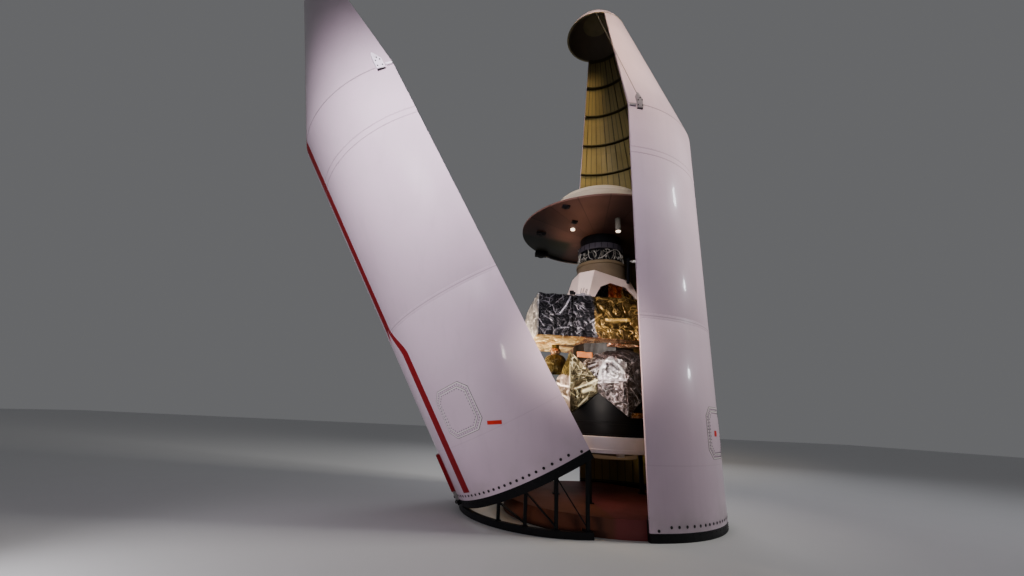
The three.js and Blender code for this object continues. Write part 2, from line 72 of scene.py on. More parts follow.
class FairingSizes(bpy.types.PropertyGroup):
    """Sizes of the two halves of the fairing"""
    radius: length("Skin radius", "Outer radius of the cylinder", 2.035)
    cylinder: length("Cylinder", "Height of the cylinder above the lower edge of the skin", 7.446)
    cone: length("Cone", "Height of the cone", 3.928)
    nose_radius: length("Nose radius", "Radius of the cone's upper edge", 0.773)
    skin: length("Skin", "Thickness of the skin", 0.006)
    wall: length("Wall", "Depth of the skin with its stringers", 0.040)
    frame_depth: length("Frame depth", "How far the ring frames stand inside the wall", 0.060)
    base: length("Base ring", "Height of the ring under the upright half", 0.124)
    tilt: turned_by("Tilt", "How far the left half leans out", 29.7)
    stand_turn: turned_by("Stand turn", "How far the left half's stand is turned", 5.3)
    field_joint: length("Field joint", "Height of the joint between the lower and the upper shell", 3.170)


class StandSizes(bpy.types.PropertyGroup):
    """Sizes of the stands and the podium"""
    podium_radius: length("Podium radius", "Radius of the round podium", 1.9247)
    podium_top: length("Podium top", "Height of the podium", 0.270)
    floor_ring: length("Floor ring", "Height of the tilted half's floor ring", 0.095)
    tilted_ring: length("Tilted ring", "Height of the ring under the tilted skin", 0.105)
    post: length("Post", "Width of a post of the wedge stand", 0.050)
    ring_top: length("White ring top", "Height of the white ring under the adapter", 1.350)
    ring_bottom: length("White ring bottom", "Height of the white ring's underside", 1.080)
    ring_radius: length("White ring radius", "Radius of the white ring", 1.000)


class SpacecraftSizes(bpy.types.PropertyGroup):
    """Sizes of the spacecraft"""
    box_half_x: length("Box half width", "Half the width of the equipment box", 1.520)
    box_half_y: length("Box half depth", "Half the depth of the equipment box", 0.950)
    box_bottom: length("Box bottom", "Height of the equipment box's underside", 3.080)
    box_top: length("Box top", "Height of the equipment box's top", 3.900)
    tower_top: length("Tower top", "Height of the white tower's top", 4.470)
    drum_radius: length("Drum radius", "Radius of the khaki drum", 0.530)
    drum_top: length("Drum top", "Height of the khaki drum's top", 4.860)
    collar_top: length("Collar top", "Height of the top of the neck's wide collar", 5.270)
    neck_top: length("Neck top", "Height of the neck's top, under the dish", 5.500)
    dish_radius: length("Dish radius", "Radius of the dish", 1.774)
    dish_rim: length("Dish rim", "Height of the dish's rim", 5.652)


class FairingColours(bpy.types.PropertyGroup):
    """Base colours of the finishes"""
    white: colour("White paint", "Gloss paint of the skins", (0.54, 0.41, 0.50))
    stripe: colour("Stripe", "Dark red stripe on the skins", (0.180, 0.002, 0.006))
    olive: colour("Primer", "Olive primer inside the skins", (0.165, 0.125, 0.042))
    black: colour("Black paint", "Satin paint of rings and frames", (0.004, 0.004, 0.005))
    red: colour("Podium", "Red-brown covering of the podium", (0.115, 0.024, 0.024))
    khaki: colour("Khaki", "Dull paint of the drum", (0.110, 0.078, 0.048))
    dish: colour("Dish", "Brown skin of the dish", (0.080, 0.040, 0.033))
    gold: colour("Gold foil", "Gold foil blankets", (0.22, 0.185, 0.080))
    silver: colour("Silver foil", "Silver foil blankets", (0.150, 0.125, 0.130))


# Materials

class Value:
    """A socket of a material. An expression on it adds its Math nodes."""

    def __init__(self, paint, socket):
        self.paint = paint
        self.socket = socket

    def maths(self, operation, *values):
        return self.paint.node("ShaderNodeMath", {"operation": operation}, dict(enumerate(values)))

    def __add__(self, other):
        return self.maths("ADD", self, other)

    def __sub__(self, other):
        return self.maths("SUBTRACT", self, other)

    def __rsub__(self, other):
        return self.maths("SUBTRACT", other, self)

    def __mul__(self, other):
        return self.maths("MULTIPLY", self, other)

    def __truediv__(self, other):
        return self.maths("DIVIDE", self, other)

    __radd__ = __add__
    __rmul__ = __mul__

    def size(self):
        return self.maths("ABSOLUTE", self)

    def most(self, other):
        return self.maths("MAXIMUM", self, other)

    def whole(self):
        return self.maths("FLOOR", self)

    def rises(self, low, high):
        """0 under low, 1 over high, and smooth between"""
        return self.paint.node(
            "ShaderNodeMapRange", {"interpolation_type": "SMOOTHSTEP"},
            {"Value": self, "From Min": low, "From Max": high})

    def near(self, centre, half, soft):
        """1 within half of centre, falling to 0 over soft"""
        return 1 - (self - centre).size().rises(half, half + soft)

    def off_line(self):
        """How far the value is from the nearest whole number"""
        return (self - (self + 0.5).whole()).size()


class Paint:
    """A material and its Principled shader"""

    def __init__(self, name, base, roughness, metallic=0.0, coat=0.0):
        self.material = bpy.data.materials.new(name)
        self.material.use_nodes = True
        self.tree = self.material.node_tree
        self.shader = self.tree.nodes["Principled BSDF"]
        self.base = tuple(base)
        self.wear({"Base Color": self.base, "Roughness": roughness, "Metallic": metallic,
                   "Coat Weight": coat, "Coat Roughness": 0.1})

    def put(self, socket, value):
        if isinstance(value, Value):
            self.tree.links.new(value.socket, socket)
        elif socket.type == "RGBA":
            socket.default_value = (*value, 1)
        else:
            socket.default_value = value

    def wear(self, values):
        for name, value in values.items():
            self.put(self.shader.inputs[name], value)

    def node(self, kind, settings, values, output=0):
        made = self.tree.nodes.new(kind)
        for name, value in settings.items():
            setattr(made, name, value)
        for name, value in values.items():
            self.put(made.inputs[name], value)
        return Value(self, made.outputs[output])

    def place(self, stretch=None):
        at = self.node("ShaderNodeTexCoord", {}, {}, "Object")
        return self.node("ShaderNodeMapping", {}, {"Vector": at, "Scale": stretch}) if stretch else at

    def unrolled(self):
        """Degrees round the half from its outer middle, and metres above the lower edge"""
        at = self.node("ShaderNodeUVMap", {"uv_map": "Unrolled"}, {})
        return self.axis(at, "X") * 100, self.axis(at, "Y") * 10

    def noise(self, scale, detail=3.0, rough=0.5, at=None, distortion=0.0):
        return self.node("ShaderNodeTexNoise", {}, {
            "Vector": at or self.place(), "Scale": scale, "Detail": detail,
            "Roughness": rough, "Distortion": distortion})

    def cells(self, scale, feature, at, output="Distance"):
        return self.node("ShaderNodeTexVoronoi", {"feature": feature}, {"Vector": at, "Scale": scale}, output)

    def chance(self, dimensions, socket, value):
        return self.node("ShaderNodeTexWhiteNoise", {"noise_dimensions": dimensions}, {socket: value})

    def axis(self, vector, name):
        return self.node("ShaderNodeSeparateXYZ", {}, {0: vector}, name)

    def mix(self, factor, first, second):
        return self.node("ShaderNodeMix", {"data_type": "RGBA"}, {0: factor, 6: first, 7: second}, 2)

    def bump(self, height, strength, distance, before=None):
        values = {"Height": height, "Strength": strength, "Distance": distance}
        if before is not None:
            values["Normal"] = before
        return self.node("ShaderNodeBump", {}, values)


def scaled(base, factor):
    return tuple(min(1, c * factor) for c in base)


# Height of each joint on the skin, half its width and how dark it is
SKIN_JOINTS = (
    (0.890, 0.003, 0.12), (3.170, 0.003, 0.55), (6.320, 0.003, 0.45), (6.445, 0.003, 0.45),
    (7.446, 0.006, 0.75), (11.374, 0.003, 0.40))
# The stripe: degrees from the outer middle, and heights
STRIPE = {"middle": 13.7, "half": 4.4, "leg_in": 7.1, "leg_out": 13.4, "fork_low": 2.60, "fork_high": 3.26,
          "foot": 0.125, "far_leg_top": 0.82}


def skin_paint(name, colours):
    p = Paint(name, colours.white, 0.28, coat=0.4)
    around, height = p.unrolled()
    cloud = p.noise(0.7, 4)
    streak = p.noise(1.0, 5, 0.6, p.place((7, 7, 0.35)))
    colour = p.mix(cloud.rises(0.35, 0.7), p.base, scaled(p.base, 0.90))
    colour = p.mix(streak.rises(0.5, 0.8) * 0.35, colour, scaled(p.base, 0.80))
    # Grime gathers along the joints and at the foot
    for seam, half, dark in SKIN_JOINTS:
        colour = p.mix(height.near(seam, half, 0.010) * dark, colour, (0.16, 0.13, 0.14))
    foot = (1 - height.rises(0.02, 0.45)) * p.noise(3, 5).rises(0.35, 0.75)
    colour = p.mix(foot * 0.45, colour, (0.30, 0.27, 0.26))
    # The stripe runs down one meridian and forks into two legs
    middle, half, top = STRIPE["middle"], STRIPE["half"], STRIPE["far_leg_top"]
    away = (around - middle).size()
    fork = 1 - height.rises(STRIPE["fork_low"], STRIPE["fork_high"])
    band = (half + fork * (STRIPE["leg_out"] - half) - away).rises(-0.12, 0.12)
    hollow = (away - fork * STRIPE["leg_in"]).rises(-0.12, 0.12).most(1 - fork.rises(0.0, 0.02))
    near_leg = band * hollow * (around - middle).rises(-0.1, 0.1).most(1 - fork.rises(0.0, 0.5))
    far_leg = around.near(3.2, 5.2, 0.2) * (1 - height.rises(top, top + 0.01))
    stripe = near_leg.most(far_leg) * height.rises(STRIPE["foot"], STRIPE["foot"] + 0.01)
    colour = p.mix(stripe, colour, tuple(colours.stripe))
    bump = p.bump(p.noise(1.6, 2) * 0.7 + p.noise(6, 2) * 0.3, 0.18, 0.03)
    rough = 0.26 + cloud * 0.10 + streak * 0.08 + foot * 0.2 + stripe * 0.35
    p.wear({"Base Color": colour, "Roughness": rough, "Coat Weight": 0.4 - stripe * 0.4,
            "Normal": p.bump(p.noise(60, 2), 0.03, 0.002, bump)})
    return p.material


def olive_primer(name, colours):
    p = Paint(name, colours.olive, 0.6)
    around, height = p.unrolled()
    bay = p.node("ShaderNodeCombineXYZ", {}, {0: (around / 10).whole(), 1: (height / 0.8).whole()})
    colour = p.mix(p.chance("3D", "Vector", bay) * 0.6, p.base, scaled(p.base, 0.72))
    stain = p.noise(2.5, 5, 0.6, p.place((1, 1, 0.3))).rises(0.45, 0.75)
    colour = p.mix(stain * 0.4, colour, scaled(p.base, 0.55))
    seam = 1 - (around / 10).off_line().rises(0.02, 0.05)
    p.wear({"Base Color": p.mix(seam * 0.7, colour, scaled(p.base, 0.28)), "Roughness": 0.5 + stain * 0.2,
            "Normal": p.bump(p.noise(9, 3), 0.25, 0.01)})
    return p.material


def rib_primer(name, colours):
    p = Paint(name, scaled(colours.olive, 0.20), 0.45)
    wear = p.noise(6, 4).rises(0.45, 0.7)
    p.wear({"Base Color": p.mix(wear * 0.5, p.base, scaled(p.base, 0.6)),
            "Roughness": 0.4 + wear * 0.2, "Normal": p.bump(p.noise(40, 3), 0.1, 0.002)})
    return p.material


# The olive primer darkened, as painted shade on the stringers and the ring frames
def dark_primer(name, colours):
    p = Paint(name, scaled(colours.olive, 0.28), 0.6)
    wear = p.noise(8, 4)
    p.wear({"Base Color": p.mix(wear, p.base, scaled(p.base, 0.5)), "Roughness": 0.5 + wear * 0.2})
    return p.material


def nose_liner(name, colours):
    p = Paint(name, (0.130, 0.100, 0.070), 0.55)
    cloud = p.noise(2.2, 4)
    p.wear({"Base Color": p.mix(cloud, p.base, scaled(p.base, 0.5)), "Roughness": 0.45 + cloud * 0.2,
            "Normal": p.bump(p.noise(14, 3), 0.2, 0.006)})
    return p.material


def satin_black(name, colours):
    p = Paint(name, colours.black, 0.5)
    cloud = p.noise(5, 4)
    scuff = p.noise(28, 4, 0.7).rises(0.62, 0.75)
    p.wear({"Base Color": p.mix(scuff * 0.4, p.base, (0.035, 0.032, 0.034)), "Specular IOR Level": 0.2,
            "Roughness": 0.40 + cloud * 0.2 + scuff * 0.1, "Normal": p.bump(p.noise(90, 2), 0.08, 0.001)})
    return p.material


# The podium's covering is painted orange-brown on the left of this x, as the warm light and shade under the tilted
# half
PODIUM_SHADE_EDGE = -0.40


def podium_red(name, colours):
    p = Paint(name, colours.red, 0.5)
    cloud = p.noise(1.4, 4)
    fibre = p.noise(220, 2)
    colour = p.mix(cloud.rises(0.35, 0.7), p.base, scaled(p.base, 0.6))
    colour = p.mix(fibre * 0.35, colour, scaled(p.base, 1.5))
    # Painted warm light and shade on the left part of the covering
    warm_shade_left = (PODIUM_SHADE_EDGE - p.axis(p.place(), "X")).rises(0.0, 0.10)
    colour = p.mix(warm_shade_left * (0.6 + cloud * 0.3), colour, (0.070, 0.026, 0.010))
    p.wear({"Base Color": colour, "Roughness": 0.42 + cloud * 0.25, "Specular IOR Level": 0.3,
            "Normal": p.bump(fibre, 0.3, 0.002)})
    return p.material


def metal(name, base, roughness):
    p = Paint(name, base, roughness, metallic=0.9)
    grain = p.noise(120, 3, 0.6, p.place((1, 1, 0.1)))
    stain = p.noise(7, 4).rises(0.45, 0.75)
    p.wear({"Base Color": p.mix(stain * 0.5, p.base, scaled(p.base, 0.55)),
            "Roughness": roughness + grain * 0.12 + stain * 0.1, "Normal": p.bump(grain, 0.08, 0.001)})
    return p.material


def foil(name, base, second, light, roughness=0.22, crease_glints=1.0, scale=5.0):
    """Crinkled metal film: flat scraps, painted highlights along thin creases between some of them, and painted
    highlights and shade along the piece's own folds
    """
    p = Paint(name, base, roughness, metallic=0.85)
    at = p.place()
    wave = p.node("ShaderNodeTexNoise", {}, {"Vector": at, "Scale": 2.6, "Detail": 2.0}, "Color")
    bent = p.node("ShaderNodeVectorMath", {"operation": "MULTIPLY_ADD"}, {0: wave, 1: (0.5, 0.5, 0.5), 2: at})
    large, small = (p.cells(scale * k, "DISTANCE_TO_EDGE", bent) for k in (1, 2.7))
    scrap, little = (p.axis(p.cells(scale * k, "F1", bent, "Color"), "X") for k in (1, 2.7))
    tiny = p.noise(scale * 14, 3, 0.6, at, 1.5)
    colour = p.mix(p.noise(3.0, 3, 0.5, at, 0.6).rises(0.42, 0.62), p.base, second)
    colour = p.mix(scrap.rises(0.35, 0.75) * 0.55, colour, scaled(second, 0.35))
    colour = p.mix(little.rises(0.55, 0.95) * 0.45, colour, scaled(second, 0.35))
    shown = p.noise(scale * 0.9, 2, 0.5, at).rises(0.47, 0.60)
    # Painted highlights along some of the creases
    crease = (1 - large.rises(0.010, 0.060)) * shown
    crease = crease.most((1 - small.rises(0.010, 0.100)) * little.rises(0.45, 0.7) * 0.55) * crease_glints
    fold = p.node("ShaderNodeAttribute", {"attribute_name": "Fold"}, {}, "Fac")
    shine = crease.most(fold.rises(0.38, 0.85))
    # Painted highlights of the creases and folds, in the colour given as light
    colour = p.mix(shine * 0.85, colour, light)
    # Folds below zero are painted dark, as shade
    colour = p.mix((0 - fold).rises(0.15, 0.65) * 0.9, colour, scaled(second, 0.12))
    bump = p.bump(small, 0.7, 0.02, p.bump(large, 0.8, 0.05))
    # Less metal where highlights are painted, so that their colour shows
    p.wear({"Base Color": colour, "Roughness": roughness + tiny * 0.18, "Metallic": 0.85 - shine * 0.55,
            "Normal": p.bump(tiny, 0.3, 0.004, bump)})
    return p.material


def dull_paint(name, base, roughness):
    p = Paint(name, base, roughness)
    cloud = p.noise(3, 4)
    p.wear({"Base Color": p.mix(cloud.rises(0.35, 0.7) * 0.7, p.base, scaled(p.base, 0.72)),
            "Roughness": roughness - 0.08 + cloud * 0.16, "Normal": p.bump(p.noise(70, 3), 0.12, 0.002)})
    return p.material


def dish_skin(name, colours):
    p = Paint(name, colours.dish, 0.5)
    cloud = p.noise(1.3, 4)
    at = p.place()
    x, y = p.axis(at, "X"), p.axis(at, "Y")
    # Eighteen panels with ribs between them
    panels = p.node("ShaderNodeMath", {"operation": "ARCTAN2"}, {0: y, 1: x}) * 2.86
    rib = 1 - panels.off_line().rises(0.010, 0.030)
    colour = p.mix(cloud.rises(0.3, 0.7), p.base, scaled(p.base, 1.5))
    colour = p.mix(p.chance("1D", "W", panels.whole()) * 0.5, colour, scaled(p.base, 0.45))
    colour = p.mix(rib * 0.5, colour, scaled(p.base, 0.25))
    # Painted shade: the far left of the underside is near black
    colour = p.mix(y.rises(0.10, 0.35) * (0 - x).rises(0.5, 0.7), colour, (0.020, 0.021, 0.012))
    p.wear({"Base Color": colour, "Roughness": 0.42 + cloud * 0.16, "Specular IOR Level": 0.25,
            "Normal": p.bump(p.noise(160, 2), 0.12, 0.001)})
    return p.material


def white_paint(name, base):
    p = Paint(name, base, 0.42, coat=0.15)
    cloud = p.noise(2.5, 4)
    p.wear({"Base Color": p.mix(cloud.rises(0.35, 0.7) * 0.6, p.base, scaled(base, 0.82)),
            "Roughness": 0.36 + cloud * 0.14, "Normal": p.bump(p.noise(35, 3), 0.08, 0.002)})
    return p.material


def glow(name, colours):
    p = Paint(name, (1.0, 0.80, 0.62), 0.3)
    spot = p.noise(30, 2)
    p.wear({"Emission Color": p.mix(spot, (1.0, 0.74, 0.52), (1.0, 0.86, 0.72)), "Emission Strength": 2.5})
    return p.material


# Finishes that take a colour of the settings, or have a maker of their own
FINISHES = {
    "striped_skin": skin_paint,
    "olive_primer": olive_primer,
    "rib_primer": rib_primer,
    "dark_primer": dark_primer,
    "nose_liner": nose_liner,
    "satin_black": satin_black,
    "podium_red": podium_red,
    "dish_skin": dish_skin,
    "lamp_glow": glow,
    "fastener_paint": lambda name, c: dull_paint(name, scaled(c.white, 0.80), 0.4),
    "stripe_red": lambda name, c: dull_paint(name, c.stripe, 0.6),
    "khaki_paint": lambda name, c: dull_paint(name, c.khaki, 0.6),
    "gold_foil": lambda name, c: foil(
        name, c.gold, scaled(c.gold, 0.5), (0.85, 0.80, 0.50), 0.22, 0.6, 4.0),
    "silver_foil": lambda name, c: foil(
        name, c.silver, scaled(c.silver, 0.45), (0.95, 0.92, 0.98), 0.22, 0.8, 6.0),
}
# Colour and roughness
METALS = {
    "machined_metal": ((0.42, 0.41, 0.40), 0.32),
    "plug_metal": ((0.62, 0.60, 0.56), 0.3),
}
DULL_PAINTS = {
    "bracket_grey": ((0.23, 0.21, 0.24), 0.45),
    "bracket_white": ((0.80, 0.70, 0.82), 0.4),
    "recess_dark": ((0.008, 0.007, 0.008), 0.7),
    "joint_shadow": ((0.16, 0.14, 0.15), 0.6),
    "nose_edge": ((0.20, 0.165, 0.085), 0.55),
    "collar_grey": ((0.030, 0.026, 0.032), 0.5),
    "strip_grey": ((0.26, 0.27, 0.31), 0.5),
    "khaki_rim": ((0.12, 0.085, 0.048), 0.55),
    "red_mark": ((0.50, 0.008, 0.004), 0.55),
    "orange_sheet": ((0.44, 0.14, 0.035), 0.4),
    "bay_black": ((0.0025, 0.002, 0.002), 0.6),
    "wire_grey": ((0.10, 0.09, 0.075), 0.5),
    "wire_black": ((0.018, 0.018, 0.020), 0.5),
    "wire_pale": ((0.27, 0.25, 0.22), 0.5),
}
WHITE_PAINTS = {
    "plain_white": ((0.70, 0.66, 0.64),),
    "tower_paint": ((0.80, 0.60, 0.53),),
    "cover_paint": ((0.38, 0.32, 0.25),),
    "ring_paint": ((0.84, 0.71, 0.77),),
}
# Colour, second colour and colour of the painted crease highlights, then roughness, how strong these highlights
# are and the creases' scale
FOILS = {
    "mauve_foil": ((0.42, 0.34, 0.33), (0.26, 0.20, 0.15), (0.90, 0.80, 0.82), 0.24, 0.6, 4.0),
    "gold_brown_foil": ((0.18, 0.110, 0.033), (0.055, 0.034, 0.013), (0.75, 0.46, 0.12), 0.24, 0.7),
    "dim_gold_foil": ((0.135, 0.110, 0.062), (0.055, 0.043, 0.022), (0.80, 0.74, 0.48), 0.24, 0.6),
    # A lit copy of the gold foil, painted light
    "bright_gold_foil": ((0.95, 0.66, 0.26), (0.55, 0.26, 0.07), (1.0, 0.90, 0.55), 0.35),
    "amber_foil": ((0.30, 0.10, 0.02), (0.10, 0.02, 0.01), (0.95, 0.70, 0.45), 0.2, 1.0, 14),
    "olive_foil": ((0.10, 0.075, 0.02), (0.045, 0.032, 0.012), (0.45, 0.38, 0.16), 0.26, 0.4),
    # The silver foil painted as a highlight
    "bright_silver_foil": ((0.62, 0.58, 0.64), (0.34, 0.31, 0.33), (1.0, 0.98, 1.0), 0.24, 1.0, 6.0),
    "grey_foil": ((0.13, 0.100, 0.100), (0.055, 0.042, 0.042), (0.66, 0.60, 0.64), 0.24, 0.6, 5.0),
    # A lit copy of the silver foil, painted light
    "pale_silver_foil": ((0.80, 0.77, 0.78), (0.62, 0.59, 0.60), (1.0, 0.98, 1.0), 0.35),
    "dark_foil": ((0.030, 0.029, 0.036), (0.014, 0.013, 0.017), (0.56, 0.54, 0.62), 0.26, 0.5),
    "black_foil": ((0.012, 0.011, 0.013), (0.005, 0.005, 0.006), (0.25, 0.24, 0.26), 0.3, 0.4),
    "copper_foil": ((0.62, 0.26, 0.14), (0.26, 0.09, 0.04), (1.0, 0.70, 0.55), 0.28, 0.8, 9.0),
    "orange_foil": ((0.95, 0.26, 0.07), (0.42, 0.05, 0.01), (1.0, 0.45, 0.16), 0.3, 1.0, 9.0),
}
FINISH_TABLES = ((metal, METALS), (dull_paint, DULL_PAINTS), (white_paint, WHITE_PAINTS), (foil, FOILS))


def finish(name):
    """The finish of that name, made once; the ending keeps it apart from the CAD's own material"""
    full = name + "_finish"
    if full in bpy.data.materials:
        return bpy.data.materials[full]
    if name in FINISHES:
        return FINISHES[name](full, bpy.context.scene.fairing_colours)
    maker, table = next(pair for pair in FINISH_TABLES if name in pair[1])
    return maker(full, *table[name])


# Shapes

def everything(bm):
    return bm.faces[:] + bm.edges[:] + bm.verts[:]


def close_holes(bm):
    bmesh.ops.holes_fill(bm, edges=[e for e in bm.edges if e.is_boundary], sides=0)


def face_outwards(bm):
    bmesh.ops.recalc_face_normals(bm, faces=bm.faces[:])


def moved_by(bm, matrix):
    bmesh.ops.transform(bm, matrix=matrix, verts=bm.verts[:])


def lathe(points, start, sweep, steps):
    """A closed outline of (radius, height) points spun about the vertical axis"""
    bm = bmesh.new()
    turn = Matrix.Rotation(start, 3, "Z")
    verts = [bm.verts.new(turn @ Vector((radius, 0, height))) for radius, height in points]
    on_axis = points[0][0] == 0 and points[-1][0] == 0
    loop = verts if on_axis else verts + verts[:1]
    edges = [bm.edges.new(pair) for pair in zip(loop, loop[1:])]
    whole = sweep > 2 * math.pi - 1e-6
    bmesh.ops.spin(bm, geom=verts + edges, cent=(0, 0, 0), axis=(0, 0, 1), angle=sweep, steps=steps,
                   use_merge=whole)
    bmesh.ops.remove_doubles(bm, verts=bm.verts[:], dist=1e-6)
    if not whole:
        close_holes(bm)
    face_outwards(bm)
    return bm


def full_turn(points, steps=96):
    return lathe(points, 0, 2 * math.pi, steps)


def repeat_round(bm, degrees, steps):
    """Repeats all of it about the vertical axis"""
    bmesh.ops.spin(bm, geom=everything(bm), cent=(0, 0, 0), axis=(0, 0, 1), angle=math.radians(degrees),
                   steps=steps, use_duplicate=True)


def extruded(corners, way):
    """A bar: the flat face between those corners, drawn out along a vector"""
    bm = bmesh.new()
    base = bm.faces.new([bm.verts.new(corner) for corner in corners])
    grown = bmesh.ops.extrude_face_region(bm, geom=[base])["geom"]
    bmesh.ops.translate(bm, verts=[v for v in grown if isinstance(v, bmesh.types.BMVert)], vec=way)
    face_outwards(bm)
    return bm


def cut_away(bm, point, out):
    """Cuts off what lies beyond a plane, and closes the cut"""
    bmesh.ops.bisect_plane(bm, geom=everything(bm), plane_co=point, plane_no=out, clear_outer=True)
    close_holes(bm)


def outward_planes(corners):
    """A point and the outward direction of each upright plane over a closed outline"""
    return [(Vector((x0, y0, 0)), Vector((y1 - y0, x0 - x1, 0)))
            for (x0, y0), (x1, y1) in zip(corners, corners[1:] + corners[:1])]


def add_to(bm, other):
    """Adds one bmesh to another and frees it"""
    mesh = bpy.data.meshes.new("part")
    other.to_mesh(mesh)
    other.free()
    bm.from_mesh(mesh)
    bpy.data.meshes.remove(mesh)


def edges_of(verts):
    return list({edge for vert in verts for edge in vert.link_edges})


def soften_edges(bm, edges, width, segments=2):
    bmesh.ops.bevel(bm, geom=edges, offset=width, affect="EDGES", segments=segments, profile=0.5,
                    material=-1)


def box(bm, low, high):
    size = [b - a for a, b in zip(low, high)]
    middle = [(a + b) / 2 for a, b in zip(low, high)]
    place = Matrix.Translation(middle) @ Matrix.Diagonal((*size, 1))
    return bmesh.ops.create_cube(bm, size=1, matrix=place)["verts"]


def block(bm, low, high, bevel=0.003):
    soften_edges(bm, edges_of(box(bm, low, high)), bevel)


def divided(bm, cuts, over=0):
    """Divides the edges that are longer than over"""
    edges = [e for e in bm.edges if e.calc_length() > over]
    bmesh.ops.subdivide_edges(bm, edges=edges, cuts=cuts, use_grid_fill=True)


def between(start, end):
    """The middle of two points, with its Z axis along them, and how far apart they are"""
    start, end = Vector(start), Vector(end)
    along = end - start
    place = Matrix.Translation((start + end) / 2) @ along.to_track_quat("Z", "Y").to_matrix().to_4x4()
    return place, along.length


def beam(bm, start, end, width, thick, bevel):
    """A bar of rectangular section between two points"""
    place, far = between(start, end)
    made = bmesh.ops.create_cube(bm, size=1, matrix=place @ Matrix.Diagonal((width, thick, far, 1)))
    soften_edges(bm, edges_of(made["verts"]), bevel)


def rod(bm, start, end, radius, sides=16, end_radius=None):
    place, far = between(start, end)
    bmesh.ops.create_cone(bm, cap_ends=True, segments=sides, radius1=radius, radius2=end_radius or radius,
                          depth=far, matrix=place)


def facing(angle, radius, height, slope=0.0):
    """The place on a skin at an angle and height, with its Z axis pointing outwards"""
    out = Vector((math.cos(angle) * math.cos(slope), math.sin(angle) * math.cos(slope), math.sin(slope)))
    at = Matrix.Translation((math.cos(angle) * radius, math.sin(angle) * radius, height))
    return at @ out.to_track_quat("Z", "Y").to_matrix().to_4x4()


def bolt_head(bm, place, radius, tall):
    lift = place @ Matrix.Translation((0, 0, tall / 2))
    bmesh.ops.create_cone(bm, cap_ends=True, segments=6, radius1=radius, radius2=radius * 0.72, depth=tall,
                          matrix=lift)


def add_bolt_row(bm, place, radius, tall, degrees, steps):
    """Adds a bolt head at a place, and its copies round the vertical axis"""
    row = bmesh.new()
    bolt_head(row, place, radius, tall)
    repeat_round(row, degrees, steps)
    add_to(bm, row)


def crumpled(bm, amount, scale, seed=0.0, keep=None):
    """Moves points along their normals into flat scraps between sharp creases"""
    noise.seed_set(NOISE_SEED)
    bm.normal_update()
    shift = Vector((seed, seed * 0.7, -seed))
    moves = []
    for vert in bm.verts:
        p = vert.co * scale + shift
        warp = noise.noise_vector(p * 0.7) * 0.5
        near, _ = noise.voronoi(p + warp)
        fine, _ = noise.voronoi(p * 2.7 + warp)
        lift = (near[0] - 0.5) * 0.7 + (fine[0] - 0.45) * 0.35
        moves.append(vert.normal * lift * amount * (keep(vert.co) if keep else 1))
    for vert, move in zip(bm.verts, moves):
        vert.co += move


def folded(bm, folds):
    """Raises folds along lines, and keeps in an attribute the painted highlight of each one, which is painted
    shade where it is below zero
    """
    bm.normal_update()
    layer = bm.verts.layers.float.new("Fold")
    bm.verts.ensure_lookup_table()
    tree = kdtree.KDTree(len(bm.verts))
    for vert in bm.verts:
        tree.insert(vert.co, vert.index)
    tree.balance()
    for *ends, width, light in folds:
        start, end = Vector(ends[:3]), Vector(ends[3:])
        reach = width * 1.7
        for _, index, _ in tree.find_range((start + end) / 2, (end - start).length / 2 + reach):
            vert = bm.verts[index]
            _, part = geometry.intersect_point_line(vert.co, start, end)
            away = (vert.co - start.lerp(end, min(1, max(0, part)))).length
            near = max(0, 1 - away / reach)
            if near * abs(light) > abs(vert[layer]):
                vert[layer] = near * light
                vert.co += vert.normal * near * width * 0.6


def shown(name, data, finishes, slot, body):
    """An object of a mesh or curve, which rides on a body"""
    for one in finishes:
        data.materials.append(finish(one))
    made = bpy.data.objects.new(name, data)
    bpy.context.scene.collection.objects.link(made)
    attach(made, body)
    return made


def piece(name, bm, finishes, slot, stands_for=None, crease=35, body="display"):
    """Makes a piece of a bmesh, in place of a CAD node if one is named"""
    for face in bm.faces:
        face.smooth = True
    for edge in bm.edges:
        edge.smooth = len(edge.link_faces) == 2 and edge.calc_face_angle(0) < math.radians(crease)
    mesh = bpy.data.meshes.new(name)
    bm.to_mesh(mesh)
    bm.free()
    made = shown(name, mesh, [finishes] if isinstance(finishes, str) else finishes, slot, body)
    if stands_for:
        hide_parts(stands_for)
    return made


def wiring(name, lines, radius, finish_name, slot, body="display"):
    """Fixed wiring: one curve with a bevelled spline for each line of points"""
    data = bpy.data.curves.new(name, "CURVE")
    data.dimensions = "3D"
    data.bevel_depth = radius
    data.bevel_resolution = 1
    data.use_fill_caps = True
    for points in lines:
        spline = data.splines.new("BEZIER")
        spline.bezier_points.add(len(points) - 1)
        for knot, point in zip(spline.bezier_points, points):
            knot.co = point
            knot.handle_left_type = knot.handle_right_type = "AUTO"
        spline.resolution_u = 5
    shown(name, data, [finish_name], slot, body)


def repaint(node, finish_name):
    """Gives a CAD node whose shape is right its finished material"""
    node_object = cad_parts[node]
    if not node_object.material_slots:
        node_object.data.materials.append(finish(finish_name))
    for one in node_object.material_slots:
        one.material = finish(finish_name)


# Halves of the fairing

